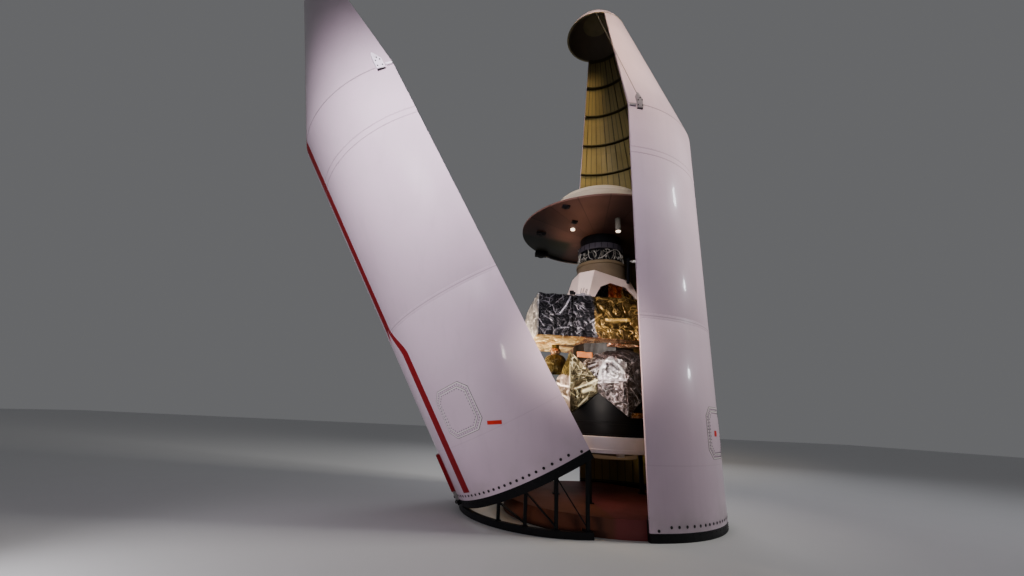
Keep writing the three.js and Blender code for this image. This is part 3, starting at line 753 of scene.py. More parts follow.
class Half:
    """One half: its label, the angle of its outer middle and its place"""

    def __init__(self, label):
        s = bpy.context.scene.fairing_sizes
        t = bpy.context.scene.fairing_stand
        self.label = label
        self.body = f"{label}_half"
        if label == "right":
            self.side, self.middle = 1, 0.0
            self.place = Matrix.Translation((0, 0, s.base))
        else:
            self.side, self.middle = -1, math.pi
            self.stand_place = Matrix.Translation((-0.970, 0.075, 0)) @ Matrix.Rotation(s.stand_turn, 4, "Z")
            centre = t.floor_ring + SEAT + s.radius * math.sin(s.tilt)
            rise = (-t.tilted_ring * math.sin(s.tilt), 0, centre + t.tilted_ring * math.cos(s.tilt))
            self.place = self.stand_place @ Matrix.Translation(rise) @ Matrix.Rotation(-s.tilt, 4, "Y")

    def start(self):
        return self.middle - math.pi / 2

    def angle(self, from_middle):
        """The angle of a place given in degrees from the outer middle towards the near side"""
        return self.middle - self.side * math.radians(from_middle)

    def half_ring(self, points, steps=96):
        return lathe(points, self.start(), math.pi, steps)

    def unroll(self, bm):
        """Keeps each point's angle and height in the UV map that the skin's finishes read"""
        layer = bm.loops.layers.uv.new("Unrolled")
        for face in bm.faces:
            for loop in face.loops:
                p = loop.vert.co
                turn = math.degrees(math.atan2(p.y * self.side, p.x * self.side))
                loop[layer].uv = (-turn * self.side * 0.01, p.z * 0.1)

    def finished(self, name, bm, finishes, slot="white_paint", stands_for=None):
        """Makes a piece of this half, modelled upright, and puts it in its place"""
        self.unroll(bm)
        moved_by(bm, self.place)
        node = stands_for and f"{self.label}_{stands_for}"
        piece(f"{self.label}_{name}", bm, finishes, slot, node, body=self.body)


def halves():
    return [Half("left"), Half("right")]


def skin_radius(height):
    s = bpy.context.scene.fairing_sizes
    return s.radius - max(0.0, height - s.cylinder) * (s.radius - s.nose_radius) / s.cone


def cone_slope():
    s = bpy.context.scene.fairing_sizes
    return math.atan((s.radius - s.nose_radius) / s.cone)


# Heights of the ring frames, and the degrees between two stringers
CYLINDER_FRAMES = (0.190, 0.890, 1.690, 2.530, 3.120, 3.220, 4.000, 4.800, 5.550, 6.330, 6.490, 7.390)
CONE_FRAMES = (7.500, 8.235, 9.030, 9.830, 10.610, 11.340)
STRINGER_STEP = 10


class FAIRING_OT_skins(bpy.types.Operator):
    """Makes the skins of both halves, white outside and primed inside"""
    bl_idname = "fairing.skins"
    bl_label = "Skins"

    def execute(self, context):
        s = context.scene.fairing_sizes
        edge = 0.003
        for half in halves():
            for name, low, high in (
                    ("lower", 0.0, s.field_joint), ("upper", s.field_joint + SEAT, s.cylinder),
                    ("cone", s.cylinder + SEAT, s.cylinder + s.cone)):
                foot, head = skin_radius(low), skin_radius(high)
                bm = half.half_ring([
                    (foot - edge / 2, low), (foot, low + edge), (head, high - edge), (head - edge / 2, high),
                    (head - s.skin, high), (foot - s.skin, low)], 120)
                for face in bm.faces:
                    p = face.calc_center_median()
                    inside = math.hypot(p.x, p.y) < skin_radius(p.z) - s.skin / 2 - 0.001
                    face.material_index = 1 if inside else 0
                half.finished(f"{name}_skin", bm, ["striped_skin", "olive_primer"],
                              stands_for=f"{name}_shell")
        return {"FINISHED"}


class FAIRING_OT_inner_structure(bpy.types.Operator):
    """Makes the stringers, the ring frames and the strips along the split of both halves"""
    bl_idname = "fairing.inner_structure"
    bl_label = "Inner structure"

    def execute(self, context):
        s = context.scene.fairing_sizes
        top = s.cylinder + s.cone
        web, depth = 0.007, s.wall - s.skin
        wide, narrow = s.radius - s.skin, s.nose_radius - s.skin
        sweep = 180 - STRINGER_STEP
        for half in halves():
            stringers = bmesh.new()
            for r, z, end_r, end_z in ((wide, 0.03, wide, s.cylinder), (wide, s.cylinder, narrow, top)):
                bm = extruded([(r, -web, z), (r - depth, -web, z), (r - depth, web, z), (r, web, z)],
                              (end_r - r, 0, end_z - z))
                first = half.start() + math.radians(STRINGER_STEP / 2)
                bmesh.ops.rotate(bm, cent=(0, 0, 0), matrix=Matrix.Rotation(first, 3, "Z"), verts=bm.verts[:])
                repeat_round(bm, sweep, sweep // STRINGER_STEP)
                add_to(stringers, bm)
            # The stringers take the darkened primer, as painted shade
            half.finished("stringers", stringers, "dark_primer")
            # Each ring frame has a web and a flange at its inner edge
            rings = bmesh.new()
            for height in CYLINDER_FRAMES + CONE_FRAMES:
                outer = skin_radius(height) - s.skin
                inner = skin_radius(height) - s.wall - s.frame_depth
                add_to(rings, half.half_ring([
                    (outer, height - 0.003), (outer, height + 0.003), (inner + 0.005, height + 0.003),
                    (inner + 0.005, height + 0.016), (inner, height + 0.014), (inner, height - 0.010),
                    (inner + 0.005, height - 0.012), (inner + 0.005, height - 0.003)], 60))
            # Each flange takes the rib primer; the rest of each frame, and all of the top frame, the darkened
            # primer as painted shade
            for face in rings.faces:
                p = face.calc_center_median()
                flange = math.hypot(p.x, p.y) < skin_radius(p.z) - s.wall - s.frame_depth + 0.006
                face.material_index = 0 if flange and p.z < CONE_FRAMES[-1] - 0.1 else 1
            half.finished("ring_frames", rings, ["rib_primer", "dark_primer"])
            strips = bmesh.new()
            sliver = math.radians(0.22)
            lip = s.radius - s.wall - 0.012
            outline = [(s.radius - 0.002, 0.0), (s.radius - 0.002, s.cylinder), (s.nose_radius - 0.002, top),
                       (s.nose_radius - s.wall, top), (lip, s.cylinder), (lip, 0.0)]
            for start in (half.start(), half.start() + math.pi - sliver):
                add_to(strips, lathe(outline, start, sliver, 1))
            half.finished("edge_strips", strips, "fastener_paint")
        return {"FINISHED"}


class FAIRING_OT_nose_cap(bpy.types.Operator):
    """Makes the whole round nose cap on the upright half, with its dark liner"""
    bl_idname = "fairing.nose_cap"
    bl_label = "Nose cap"

    def execute(self, context):
        s = context.scene.fairing_sizes
        half = Half("right")
        slant = cone_slope()
        radius = s.nose_radius / math.cos(slant)
        seat = s.cylinder + s.cone + SEAT
        centre = s.cylinder + s.cone - s.nose_radius * math.tan(slant)
        wall, steps = 0.030, 20

        def arc(r):
            rim = math.asin((seat - centre) / r)
            turns = [rim + (math.pi / 2 - rim) * i / steps for i in range(steps + 1)]
            return [(r * math.cos(a) if i < steps else 0, centre + r * math.sin(a))
                    for i, a in enumerate(turns)]

        shell = full_turn(arc(radius)[::-1] + arc(radius - wall))
        for face in shell.faces:
            away = (face.calc_center_median() - Vector((0, 0, centre))).length
            face.material_index = 2 if face.normal.z < -0.9 else 1 if away < radius - 0.02 else 0
        half.finished("nose_shell", shell, ["striped_skin", "nose_liner", "nose_edge"], stands_for="nose_cap")
        # A primed ring round the open rim, with its bolts
        inner, outer = s.nose_radius - 0.045, s.nose_radius - 0.010
        rim = full_turn([
            (inner, seat + 0.001), (outer + 0.008, seat + 0.001), (outer + 0.006, seat + 0.022),
            (outer, seat + 0.024), (outer, seat + 0.006), (inner, seat + 0.006)])
        down = Matrix.Translation((inner + 0.015, 0, seat + 0.001)) @ Matrix.Rotation(math.pi, 4, "X")
        add_bolt_row(rim, down, 0.006, 0.005, 352.5, 47)
        half.finished("nose_rim", rim, "nose_edge")
        # A taut wire from the rim down to the point of the near bracket
        start = Vector((-0.211, -0.738, s.base + seat))
        end = Vector((0.160, -(s.radius + 0.015), s.base + 7.690))
        wire = [start.lerp(end, i / 4) for i in range(5)]
        wiring("nose_wire", [wire], 0.006, "wire_grey", "steel", half.body)
        return {"FINISHED"}


# Degrees from the outer middle, and sizes
DOOR = {"angle": 43.2, "height": 1.385, "half_width": 0.380, "half_tall": 0.4075, "chamfer": 0.140}
# Each layer of a door: how far it lies inside the outline, how proud it stands, and its finish
DOOR_LAYERS = (
    (-0.004, 0.002, 1), (0.006, 0.004, 2), (0.016, 0.0055, 0), (0.060, 0.007, 1), (0.068, 0.009, 2),
    (0.078, 0.0105, 0))


def door_outline(inset):
    w, h = DOOR["half_width"] - inset, DOOR["half_tall"] - inset
    c = DOOR["chamfer"] - inset * 0.4
    return [(w - c, -h), (w, c - h), (w, h - c), (w - c, h), (c - w, h), (-w, h - c), (-w, c - h), (c - w, -h)]


def walk(corners, step):
    """Points along a closed outline, about a step apart"""
    places = []
    for (x0, y0), (x1, y1) in zip(corners, corners[1:] + corners[:1]):
        count = max(1, round(math.hypot(x1 - x0, y1 - y0) / step))
        places += [(x0 + (x1 - x0) * i / count, y0 + (y1 - y0) * i / count) for i in range(count)]
    return places


def skin_plate(corners, angle, height, inner, outer):
    """A plate bent to the skin, with a straight-sided outline"""
    reach = max(x for x, _ in corners) / inner + 0.02
    tall = max(y for _, y in corners)
    low, high = height - tall, height + tall
    bm = lathe([(inner, low), (outer, low), (outer, high), (inner, high)], -reach, 2 * reach, 24)
    for (x0, y0), (x1, y1) in zip(corners, corners[1:] + corners[:1]):
        if abs(y1 - y0) > 1e-6:
            cut_away(bm, Vector((0, x0, height + y0)), Vector((0, y1 - y0, x0 - x1)))
    face_outwards(bm)
    bmesh.ops.rotate(bm, cent=(0, 0, 0), matrix=Matrix.Rotation(angle, 3, "Z"), verts=bm.verts[:])
    return bm


class FAIRING_OT_doors(bpy.types.Operator):
    """Makes the bolted access doors with their double borders"""
    bl_idname = "fairing.doors"
    bl_label = "Access doors"

    def execute(self, context):
        s = context.scene.fairing_sizes
        for half in halves():
            angle = half.angle(DOOR["angle"])
            door, bolts = bmesh.new(), bmesh.new()
            for inset, proud, index in DOOR_LAYERS:
                plate = skin_plate(door_outline(inset), angle, DOOR["height"], s.radius - s.wall,
                                   s.radius + proud)
                for face in plate.faces:
                    face.material_index = index
                add_to(door, plate)
            for inset, proud in ((0.036, 0.0055), (0.096, 0.0105)):
                for along, up in walk(door_outline(inset), 0.050):
                    place = facing(angle + along / s.radius, s.radius + proud - 0.001, DOOR["height"] + up)
                    bolt_head(bolts, place, 0.012, 0.006)
            half.finished("door_plate", door, ["striped_skin", "joint_shadow", "plain_white"],
                          stands_for="access_door")
            half.finished("door_bolts", bolts, "bracket_grey")
        return {"FINISHED"}


# Recesses at the foot: degrees from the outer middle of those on the near side, and of the single low one
FOOT_RECESS = {"near": (80.8, 77.1, 73.1, 69.2, 65.6, 62.3, 59.3), "gap": 3.15, "others": 44, "height": 0.078,
               "single": (86.4, 0.033)}
# Heights of the joint straps and of the rivet rows
STRAPS = ((3.125, 3.215), (6.320, 6.335), (6.430, 6.445))
RIVET_ROWS = (3.140, 3.200, 6.305, 6.460, 7.425, 7.470, 11.330)
MARKS = {
    # Half width, half height, turn in degrees, degrees from the outer middle, height and how proud it stands
    "left": (0.120, 0.030, -20.6, 58.3, 0.975, 0.003),
    "right": (0.060, 0.045, 0, 45, 1.370, 0.013),
}


class FAIRING_OT_fasteners(bpy.types.Operator):
    """Makes the joint straps, the rivet rows and the row of recesses at the foot"""
    bl_idname = "fairing.fasteners"
    bl_label = "Straps and fasteners"

    def execute(self, context):
        s = context.scene.fairing_sizes
        for half in halves():
            straps = bmesh.new()
            proud, flush, sunk = s.radius + 0.0025, s.radius - 0.001, s.radius - 0.003
            for low, high in STRAPS:
                add_to(straps, half.half_ring([
                    (flush, low), (proud, low + 0.004), (proud, high - 0.004), (flush, high), (sunk, high),
                    (sunk, low)], 120))
            half.finished("joint_straps", straps, "striped_skin")
            rows = bmesh.new()
            for height in RIVET_ROWS:
                slope = cone_slope() if height > s.cylinder else 0.0
                gap = 2.5 if height < 11 else 5.0
                count = int(176 / gap)
                first = facing(half.start() + math.radians(2), skin_radius(height) + 0.0002, height, slope)
                add_bolt_row(rows, first, 0.0075, 0.0035, gap * count, count)
            half.finished("rivet_rows", rows, "fastener_paint")
            recesses = bmesh.new()
            near, low = FOOT_RECESS["near"], FOOT_RECESS["height"]
            places = [(degrees, low) for degrees in near] + [FOOT_RECESS["single"]]
            places += [(near[-1] - FOOT_RECESS["gap"] * (i + 1), low) for i in range(FOOT_RECESS["others"])]
            for degrees, height in places:
                one = bmesh.new()
                place = facing(half.angle(degrees), s.radius + 0.0005, height)
                bmesh.ops.create_circle(one, cap_ends=True, segments=14, radius=0.022, matrix=place)
                rim = bmesh.ops.inset_region(one, faces=one.faces[:], thickness=0.005, depth=0.003)["faces"]
                # Each recess's sunk floor is painted near black, as shade in the hole
                for face in one.faces:
                    face.material_index = 0 if face in rim else 1
                add_to(recesses, one)
            half.finished("foot_recesses", recesses, ["fastener_paint", "recess_dark"])
            # The far leg of the stripe is a plate that stands proud of the skin
            low, high = STRIPE["foot"] + 0.010, STRIPE["far_leg_top"]
            back, face = s.radius - 0.002, s.radius + 0.055
            outline = [(back, low), (face - 0.003, low), (face, low + 0.003), (face, high - 0.003),
                       (face - 0.003, high), (back, high)]
            rail = lathe(outline, half.middle - math.radians(3.5), math.radians(7.0), 6)
            half.finished("stripe_rail", rail, "stripe_red")
            wide, tall, turn, degrees, height, proud = MARKS[half.label]
            turned = Matrix.Rotation(math.radians(turn), 2)
            level = ((wide, -tall), (wide, tall), (-wide, tall), (-wide, -tall))
            corners = [tuple(turned @ Vector(c)) for c in level]
            mark = skin_plate(corners, half.angle(degrees), height, s.radius - 0.002, s.radius + proud)
            half.finished("marker_plate", mark, "red_mark")
        return {"FINISHED"}


# Half width of a bracket, where its middle is, the height of its foot, and its finish
BRACKETS = {"right": (0.056, 0.222, 7.335, "bracket_grey"), "left": (0.078, -0.240, 7.380, "bracket_white")}


class FAIRING_OT_brackets(bpy.types.Operator):
    """Makes the pointed brackets of both halves, and gives the hinge lugs their finish"""
    bl_idname = "fairing.brackets"
    bl_label = "Brackets and hinges"

    def execute(self, context):
        s = context.scene.fairing_sizes
        for half in halves():
            across, middle, low, shade = BRACKETS[half.label]
            shoulder, point, tip = low + 0.205, low + 0.355, -0.045
            corners = [(-across, low), (across, low), (across, shoulder), (tip + 0.014, point),
                       (tip - 0.014, point), (-across, shoulder)]
            for i, way in enumerate((-1, 1)):
                front, back = way * (s.radius + 0.030), way * (s.radius - 0.080)
                bm = extruded([(middle + x, back, z) for x, z in corners], (0, front - back, 0))
                soften_edges(bm, bm.edges[:], 0.004)
                # The catch at the split edge
                inner, outer = sorted((half.side * 0.010, half.side * 0.140))
                block(bm, (inner, min(front, back), low + 0.037), (outer, max(front, back), low + 0.080), 0.004)
                for face in bm.faces:
                    face.material_index = 0
                # Dark bolts, and a near-black sill under the bracket as painted shade
                dark = bmesh.new()
                for x, z in ((0.0, 0.225), (-0.04, 0.165), (0.04, 0.175), (-0.045, 0.050), (0.045, 0.050)):
                    start, end = ((middle + x, front + way * reach, low + z) for reach in (-0.010, 0.010))
                    rod(dark, start, end, 0.013, 10)
                near, far = sorted((way * (s.radius + 0.016), way * (s.radius - 0.02)))
                block(dark, (middle - across, near, low - 0.012), (middle + across, far, low - 0.001), 0.002)
                for face in dark.faces:
                    face.material_index = 1
                add_to(bm, dark)
                half.finished(f"bracket_{i + 1}", bm, [shade, "recess_dark"], "steel", f"edge_bracket_{i + 1}")
                repaint(f"{half.label}_hinge_lug_{i + 1}", "machined_metal")
        return {"FINISHED"}


# Stands

def add_hinge_ears(bm, half):
    """The ears that hold each half's hinge pins, with round eyes"""
    s = bpy.context.scene.fairing_sizes
    axis = half.side * (s.radius + 0.035)
    near, far = sorted((axis, half.side * (s.radius - 0.020)))
    for lug in (-0.250, 0.250):
        for y in (lug - 0.0425, lug + 0.0425):
            block(bm, (near, y - 0.0075, -0.080), (far, y + 0.0075, -0.004), 0.002)
            rod(bm, (axis, y - 0.0075, -0.015), (axis, y + 0.0075, -0.015), 0.028, 28)


def add_ring_bolts(bm, half, height):
    radius = bpy.context.scene.fairing_sizes.radius - 0.0005
    add_bolt_row(bm, facing(half.start() + math.radians(4), radius, height), 0.009, 0.006, 172, 43)


class FAIRING_OT_right_stand(bpy.types.Operator):
    """Makes the black ring under the upright half"""
    bl_idname = "fairing.right_stand"
    bl_label = "Stand of the upright half"

    def execute(self, context):
        s = context.scene.fairing_sizes
        half = Half("right")
        inner, upstand, high = s.radius - 0.110, s.radius - s.wall - SEAT, 0.165
        bm = half.half_ring([
            (inner, -s.base), (s.radius - 0.004, -s.base), (s.radius, -s.base + 0.004), (s.radius, -0.005),
            (s.radius - 0.004, -0.0006), (upstand, -0.0006), (upstand, high), (inner, high)], 120)
        add_hinge_ears(bm, half)
        for height in (-0.090, -0.034):
            add_ring_bolts(bm, half, height)
        moved_by(bm, half.place)
        piece("right_ring", bm, "satin_black", "black_paint", "right_base_ring")
        return {"FINISHED"}


POST_ANGLES = (42.5, 57.5, 72.5, 87.5)


class FAIRING_OT_left_stand(bpy.types.Operator):
    """Makes the floor ring and the wedge frame under the tilted half"""
    bl_idname = "fairing.left_stand"
    bl_label = "Stand of the tilted half"

    def execute(self, context):
        s = context.scene.fairing_sizes
        t = context.scene.fairing_stand
        half = Half("left")
        r = s.radius
        # The floor ring is the tilted ring's shadow, so it is squeezed in x
        squeeze = math.cos(s.tilt)
        ring = half.half_ring([
            (r - 0.090, 0), (r - 0.003, 0), (r, 0.003), (r, t.floor_ring - 0.004),
            (r - 0.004, t.floor_ring), (r - 0.090, t.floor_ring)])
        bmesh.ops.scale(ring, vec=(squeeze, 1, 1), verts=ring.verts[:])
        for way in (-1, 1):
            near, far = sorted((way * 1.700, way * (r - 0.045)))
            block(ring, (-0.090, near, 0), (0, far, t.floor_ring), 0.003)
        moved_by(ring, half.stand_place)
        piece("left_ring_on_floor", ring, "satin_black", "black_paint", "left_floor_ring")
        lip = t.tilted_ring + 0.030
        wedge = half.half_ring([
            (r - 0.080, -t.tilted_ring), (r - 0.020, -t.tilted_ring), (r - 0.020, -lip), (r - 0.004, -lip),
            (r, -lip + 0.004), (r, -0.005), (r - 0.004, -0.0006), (r - 0.080, -0.0006)], 120)
        add_hinge_ears(wedge, half)
        add_ring_bolts(wedge, half, -0.05)
        moved_by(wedge, half.stand_place.inverted() @ half.place)
        foot = t.floor_ring + SEAT
        centre = foot + r * math.sin(s.tilt)
        for way in (-1, 1):
            posts = []
            for angle in POST_ANGLES:
                turn = math.pi + way * math.radians(angle)
                x = (r - 0.048) * math.cos(turn) * squeeze
                posts.append((x, (r - 0.048) * math.sin(turn), centre + x * math.tan(s.tilt) + 0.03))
            for k, (x, y, head) in enumerate(posts):
                beam(wedge, (x, y, foot), (x, y, head), t.post, t.post, 0.004)
                block(wedge, (x - 0.045, y - 0.045, foot), (x + 0.045, y + 0.045, foot + 0.010), 0.002)
                if k:
                    px, py, ph = posts[k - 1]
                    beam(wedge, (px, py, ph - 0.055), (x, y, foot + 0.040), 0.045, 0.020, 0.003)
        moved_by(wedge, half.stand_place)
        piece("left_wedge", wedge, "satin_black", "black_paint", "left_wedge_frame")
        return {"FINISHED"}


# The podium's flat side: where it faces, in degrees, and how far from the middle it is
PODIUM_FLAT = (37, 1.490)


class FAIRING_OT_podium(bpy.types.Operator):
    """Makes the round podium with its flat side"""
    bl_idname = "fairing.podium"
    bl_label = "Podium"

    def execute(self, context):
        t = context.scene.fairing_stand
        r, top = t.podium_radius, t.podium_top
        bm = full_turn([
            (0, 0), (r, 0), (r, top - 0.012), (r - 0.004, top - 0.003), (r - 0.012, top), (0, top)], 144)
        turn = math.radians(PODIUM_FLAT[0])
        out = Vector((math.cos(turn), math.sin(turn), 0))
        cut_away(bm, out * PODIUM_FLAT[1], out)
        face_outwards(bm)
        piece("podium_block", bm, "podium_red", "red_floor", "podium")
        return {"FINISHED"}


# Where the four legs stand, in degrees, and how far from the middle
LEG_ANGLES, LEG_RADIUS = (25, 177, 236, 335), 0.950


class FAIRING_OT_payload_stand(bpy.types.Operator):
    """Makes the white ring, its hub and legs, and the black adapter"""
    bl_idname = "fairing.payload_stand"
    bl_label = "Payload stand"

    def execute(self, context):
        t = context.scene.fairing_stand
        r, low, top = t.ring_radius, t.ring_bottom, t.ring_top
        ring = full_turn([
            (0, low), (r + 0.026, low), (r + 0.030, low + 0.004), (r + 0.030, low + 0.061),
            (r + 0.026, low + 0.065), (r + 0.003, low + 0.065), (r, low + 0.068), (r, top - 0.005),
            (r - 0.005, top), (0, top)])
        add_bolt_row(ring, facing(0, r + 0.0295, low + 0.032), 0.011, 0.007, 355, 71)
        piece("white_ring", ring, "ring_paint", "white_paint", "payload_stand_ring")
        hub = full_turn([(0, 0.955), (0.590, 0.955), (0.600, 0.965), (0.600, low - SEAT), (0, low - SEAT)], 64)
        piece("stand_hub", hub, "khaki_paint", "khaki_paint", "payload_stand_hub")
        foot = t.podium_top + SEAT
        for i, angle in enumerate(LEG_ANGLES):
            leg = bmesh.new()
            x, y = LEG_RADIUS * math.cos(math.radians(angle)), LEG_RADIUS * math.sin(math.radians(angle))
            block(leg, (x - 0.035, y - 0.035, foot), (x + 0.035, y + 0.035, low - SEAT), 0.005)
            for z in (foot, low - 0.0123):
                block(leg, (x - 0.065, y - 0.065, z), (x + 0.065, y + 0.065, z + 0.012), 0.003)
                for bx in (x - 0.050, x + 0.050):
                    for by in (y - 0.050, y + 0.050):
                        rod(leg, (bx, by, z + 0.006), (bx, by, z + 0.020), 0.008, 6)
            piece(f"stand_leg_{i + 1}", leg, "satin_black", "black_paint", f"payload_stand_leg_{i + 1}")
        a, b, start, end = 0.820, 0.805, top + SEAT, 2.250
        adapter = full_turn([
            (0, start), (a, start), (a, start + 0.030), (b, start + 0.036), (b, 1.560),
            (a - 0.004, 1.570), (a - 0.004, 1.600), (b, 1.610), (b, end), (0, end)])
        add_bolt_row(adapter, facing(0, a - 0.001, start + 0.015), 0.008, 0.006, 355, 71)
        piece("adapter_cone", adapter, "satin_black", "black_paint", "payload_adapter")
        # A small white stop under the ring, and a gold-wrapped bar on the adapter's shoulder
        stop = bmesh.new()
        block(stop, (-0.045, -r * 0.93, low - 0.060), (0.060, -r * 0.80, low + 0.002), 0.004)
        piece("ring_stop", stop, "plain_white", "white_paint")
        bar = bmesh.new()
        block(bar, (0.250, -0.830, 1.690), (0.620, -0.700, 1.780), 0.010)
        divided(bar, 12, 0.05)
        crumpled(bar, 0.015, 12.0, 7.0)
        piece("adapter_bar", bar, "amber_foil", "gold_foil", crease=25)
        return {"FINISHED"}


# Spacecraft

# The bay's outline is a star of ridges and valleys, and a blanket is folded over each ridge
BLANKET = {"turn": 216.9, "ridge": 1.040, "valley": 0.980, "point": 1.700, "low": 2.112, "shoulder": 2.340,
           "apex": 2.860, "thick": 0.045}
# Each blanket's slot, then the finishes of the facet towards the next ridge, of the other and of the upper part
# Where one blanket takes several finishes, the lighter and darker ones are painted light and shade on its one foil
BLANKET_FINISHES = (
    ("gold_foil", ("dim_gold_foil", "mauve_foil", "olive_foil")), ("silver_foil", ("grey_foil", "grey_foil")),
    ("silver_foil", ("silver_foil", "silver_foil")), ("black_foil", ("black_foil", "black_foil")),
    ("gold_foil", ("gold_foil", "gold_foil")), ("silver_foil", ("silver_foil", "grey_foil")))
DECK_SCALE, BODY_SCALE = 0.948, 0.597

# Large folds: start, end, width, and how much painted highlight each one gets, painted shade below zero
BLANKET_FOLDS = {
    0: (
        (-1.00, -0.01, 2.32, -0.93, -0.29, 2.24, 0.022, 1), (-0.93, -0.29, 2.24, -0.83, -0.61, 2.20, 0.022, 1),
        (-0.94, -0.22, 2.09, -0.83, -0.65, 1.96, 0.02, 0.9), (-0.96, -0.15, 2.17, -0.83, -0.61, 2.07, 0.02, 0.6),
        (-0.92, -0.29, 2.02, -0.83, -0.61, 1.93, 0.02, 0.6), (-0.98, -0.08, 2.37, -0.85, -0.55, 2.38, 0.05, 0.5),
        (-0.83, -0.62, 2.60, -0.83, -0.62, 2.17, 0.022, 0.8), (-0.46, -0.86, 2.37, -0.74, -0.68, 2.34, 0.02, -0.7),
        (-0.46, -0.86, 2.39, -0.71, -0.70, 2.44, 0.02, 0.7), (-0.47, -0.85, 2.42, -0.68, -0.72, 2.54, 0.02, -0.6),
        (-0.46, -0.86, 2.39, -0.66, -0.73, 2.71, 0.02, 0.6), (-0.75, -0.67, 2.83, -0.66, -0.73, 2.54, 0.02, 0.5),
        (-0.75, -0.67, 2.16, -0.54, -0.81, 2.25, 0.025, 0.9), (-0.54, -0.81, 2.25, -0.37, -0.91, 2.33, 0.03, 0.9),
        (-0.61, -0.76, 2.11, -0.49, -0.84, 2.17, 0.045, 1), (-0.75, -0.67, 2.15, -0.73, -0.69, 1.95, 0.02, -0.7),
        (-0.70, -0.71, 1.85, -0.54, -0.80, 2.02, 0.025, 0.8), (-0.77, -0.66, 1.95, -0.65, -0.74, 2.02, 0.02, 0.6),
        (-0.46, -0.86, 2.36, -0.73, -0.69, 2.22, 0.02, -0.6)),
    1: (
        (-0.36, -0.91, 2.33, -0.04, -0.99, 2.33, 0.02, 1), (-0.28, -0.93, 2.29, -0.03, -0.99, 2.29, 0.02, 0.9),
        (-0.04, -0.99, 2.33, 0.10, -1.03, 2.33, 0.02, 0.9), (-0.38, -0.90, 2.14, -0.18, -0.95, 2.27, 0.015, 0.5),
        (-0.33, -0.92, 2.11, -0.10, -0.98, 2.25, 0.015, 0.5), (-0.26, -0.93, 2.07, -0.04, -0.99, 2.16, 0.015, 0.5),
        (-0.19, -0.95, 2.01, 0.04, -1.01, 2.09, 0.015, 0.5), (0.07, -1.02, 2.24, 0.15, -1.02, 2.13, 0.018, 0.7),
        (0.19, -1.00, 2.19, 0.34, -0.93, 2.05, 0.018, 0.9), (-0.05, -0.99, 1.95, 0.07, -1.02, 1.97, 0.025, 0.6),
        (-0.47, -0.88, 2.20, -0.37, -0.91, 2.23, 0.02, 0.5), (0.07, -1.02, 2.28, 0.07, -1.02, 2.02, 0.03, -0.7)),
}
# Folds on the dome in the same way, with their painted highlight and shade
DOME_FOLDS = (
    (-0.33, -0.82, 2.37, -0.29, -0.81, 2.52, 0.035, 1), (-0.29, -0.81, 2.52, -0.18, -0.78, 2.70, 0.035, 1),
    (-0.18, -0.78, 2.70, -0.07, -0.81, 2.70, 0.030, 1), (-0.07, -0.81, 2.70, 0.02, -0.89, 2.59, 0.035, 1),
    (0.02, -0.89, 2.59, 0.11, -0.92, 2.46, 0.035, 1), (0.11, -0.92, 2.46, 0.23, -0.93, 2.37, 0.030, 1),
    (-0.15, -0.87, 2.52, -0.11, -0.90, 2.45, 0.030, 0.8), (-0.11, -0.90, 2.45, 0.02, -0.91, 2.41, 0.030, 0.8),
    (-0.09, -0.85, 2.62, 0.00, -0.90, 2.51, 0.025, -0.8), (-0.18, -0.82, 2.62, -0.18, -0.86, 2.46, 0.030, -1),
    (-0.49, -0.45, 2.71, -0.35, -0.62, 2.75, 0.020, 0.8), (-0.49, -0.58, 2.63, -0.35, -0.71, 2.66, 0.020, -0.7),
    (-0.47, -0.64, 2.59, -0.34, -0.73, 2.64, 0.020, 0.8), (-0.46, -0.70, 2.50, -0.34, -0.77, 2.56, 0.020, 0.8),
    (-0.44, -0.74, 2.40, -0.34, -0.79, 2.49, 0.020, 0.8), (-0.26, -0.64, 2.80, -0.19, -0.67, 2.81, 0.030, 0.7),
    (0.28, -0.92, 2.45, 0.37, -0.91, 2.46, 0.035, 0.8), (0.10, -0.89, 2.63, 0.21, -0.85, 2.70, 0.020, 0.35))
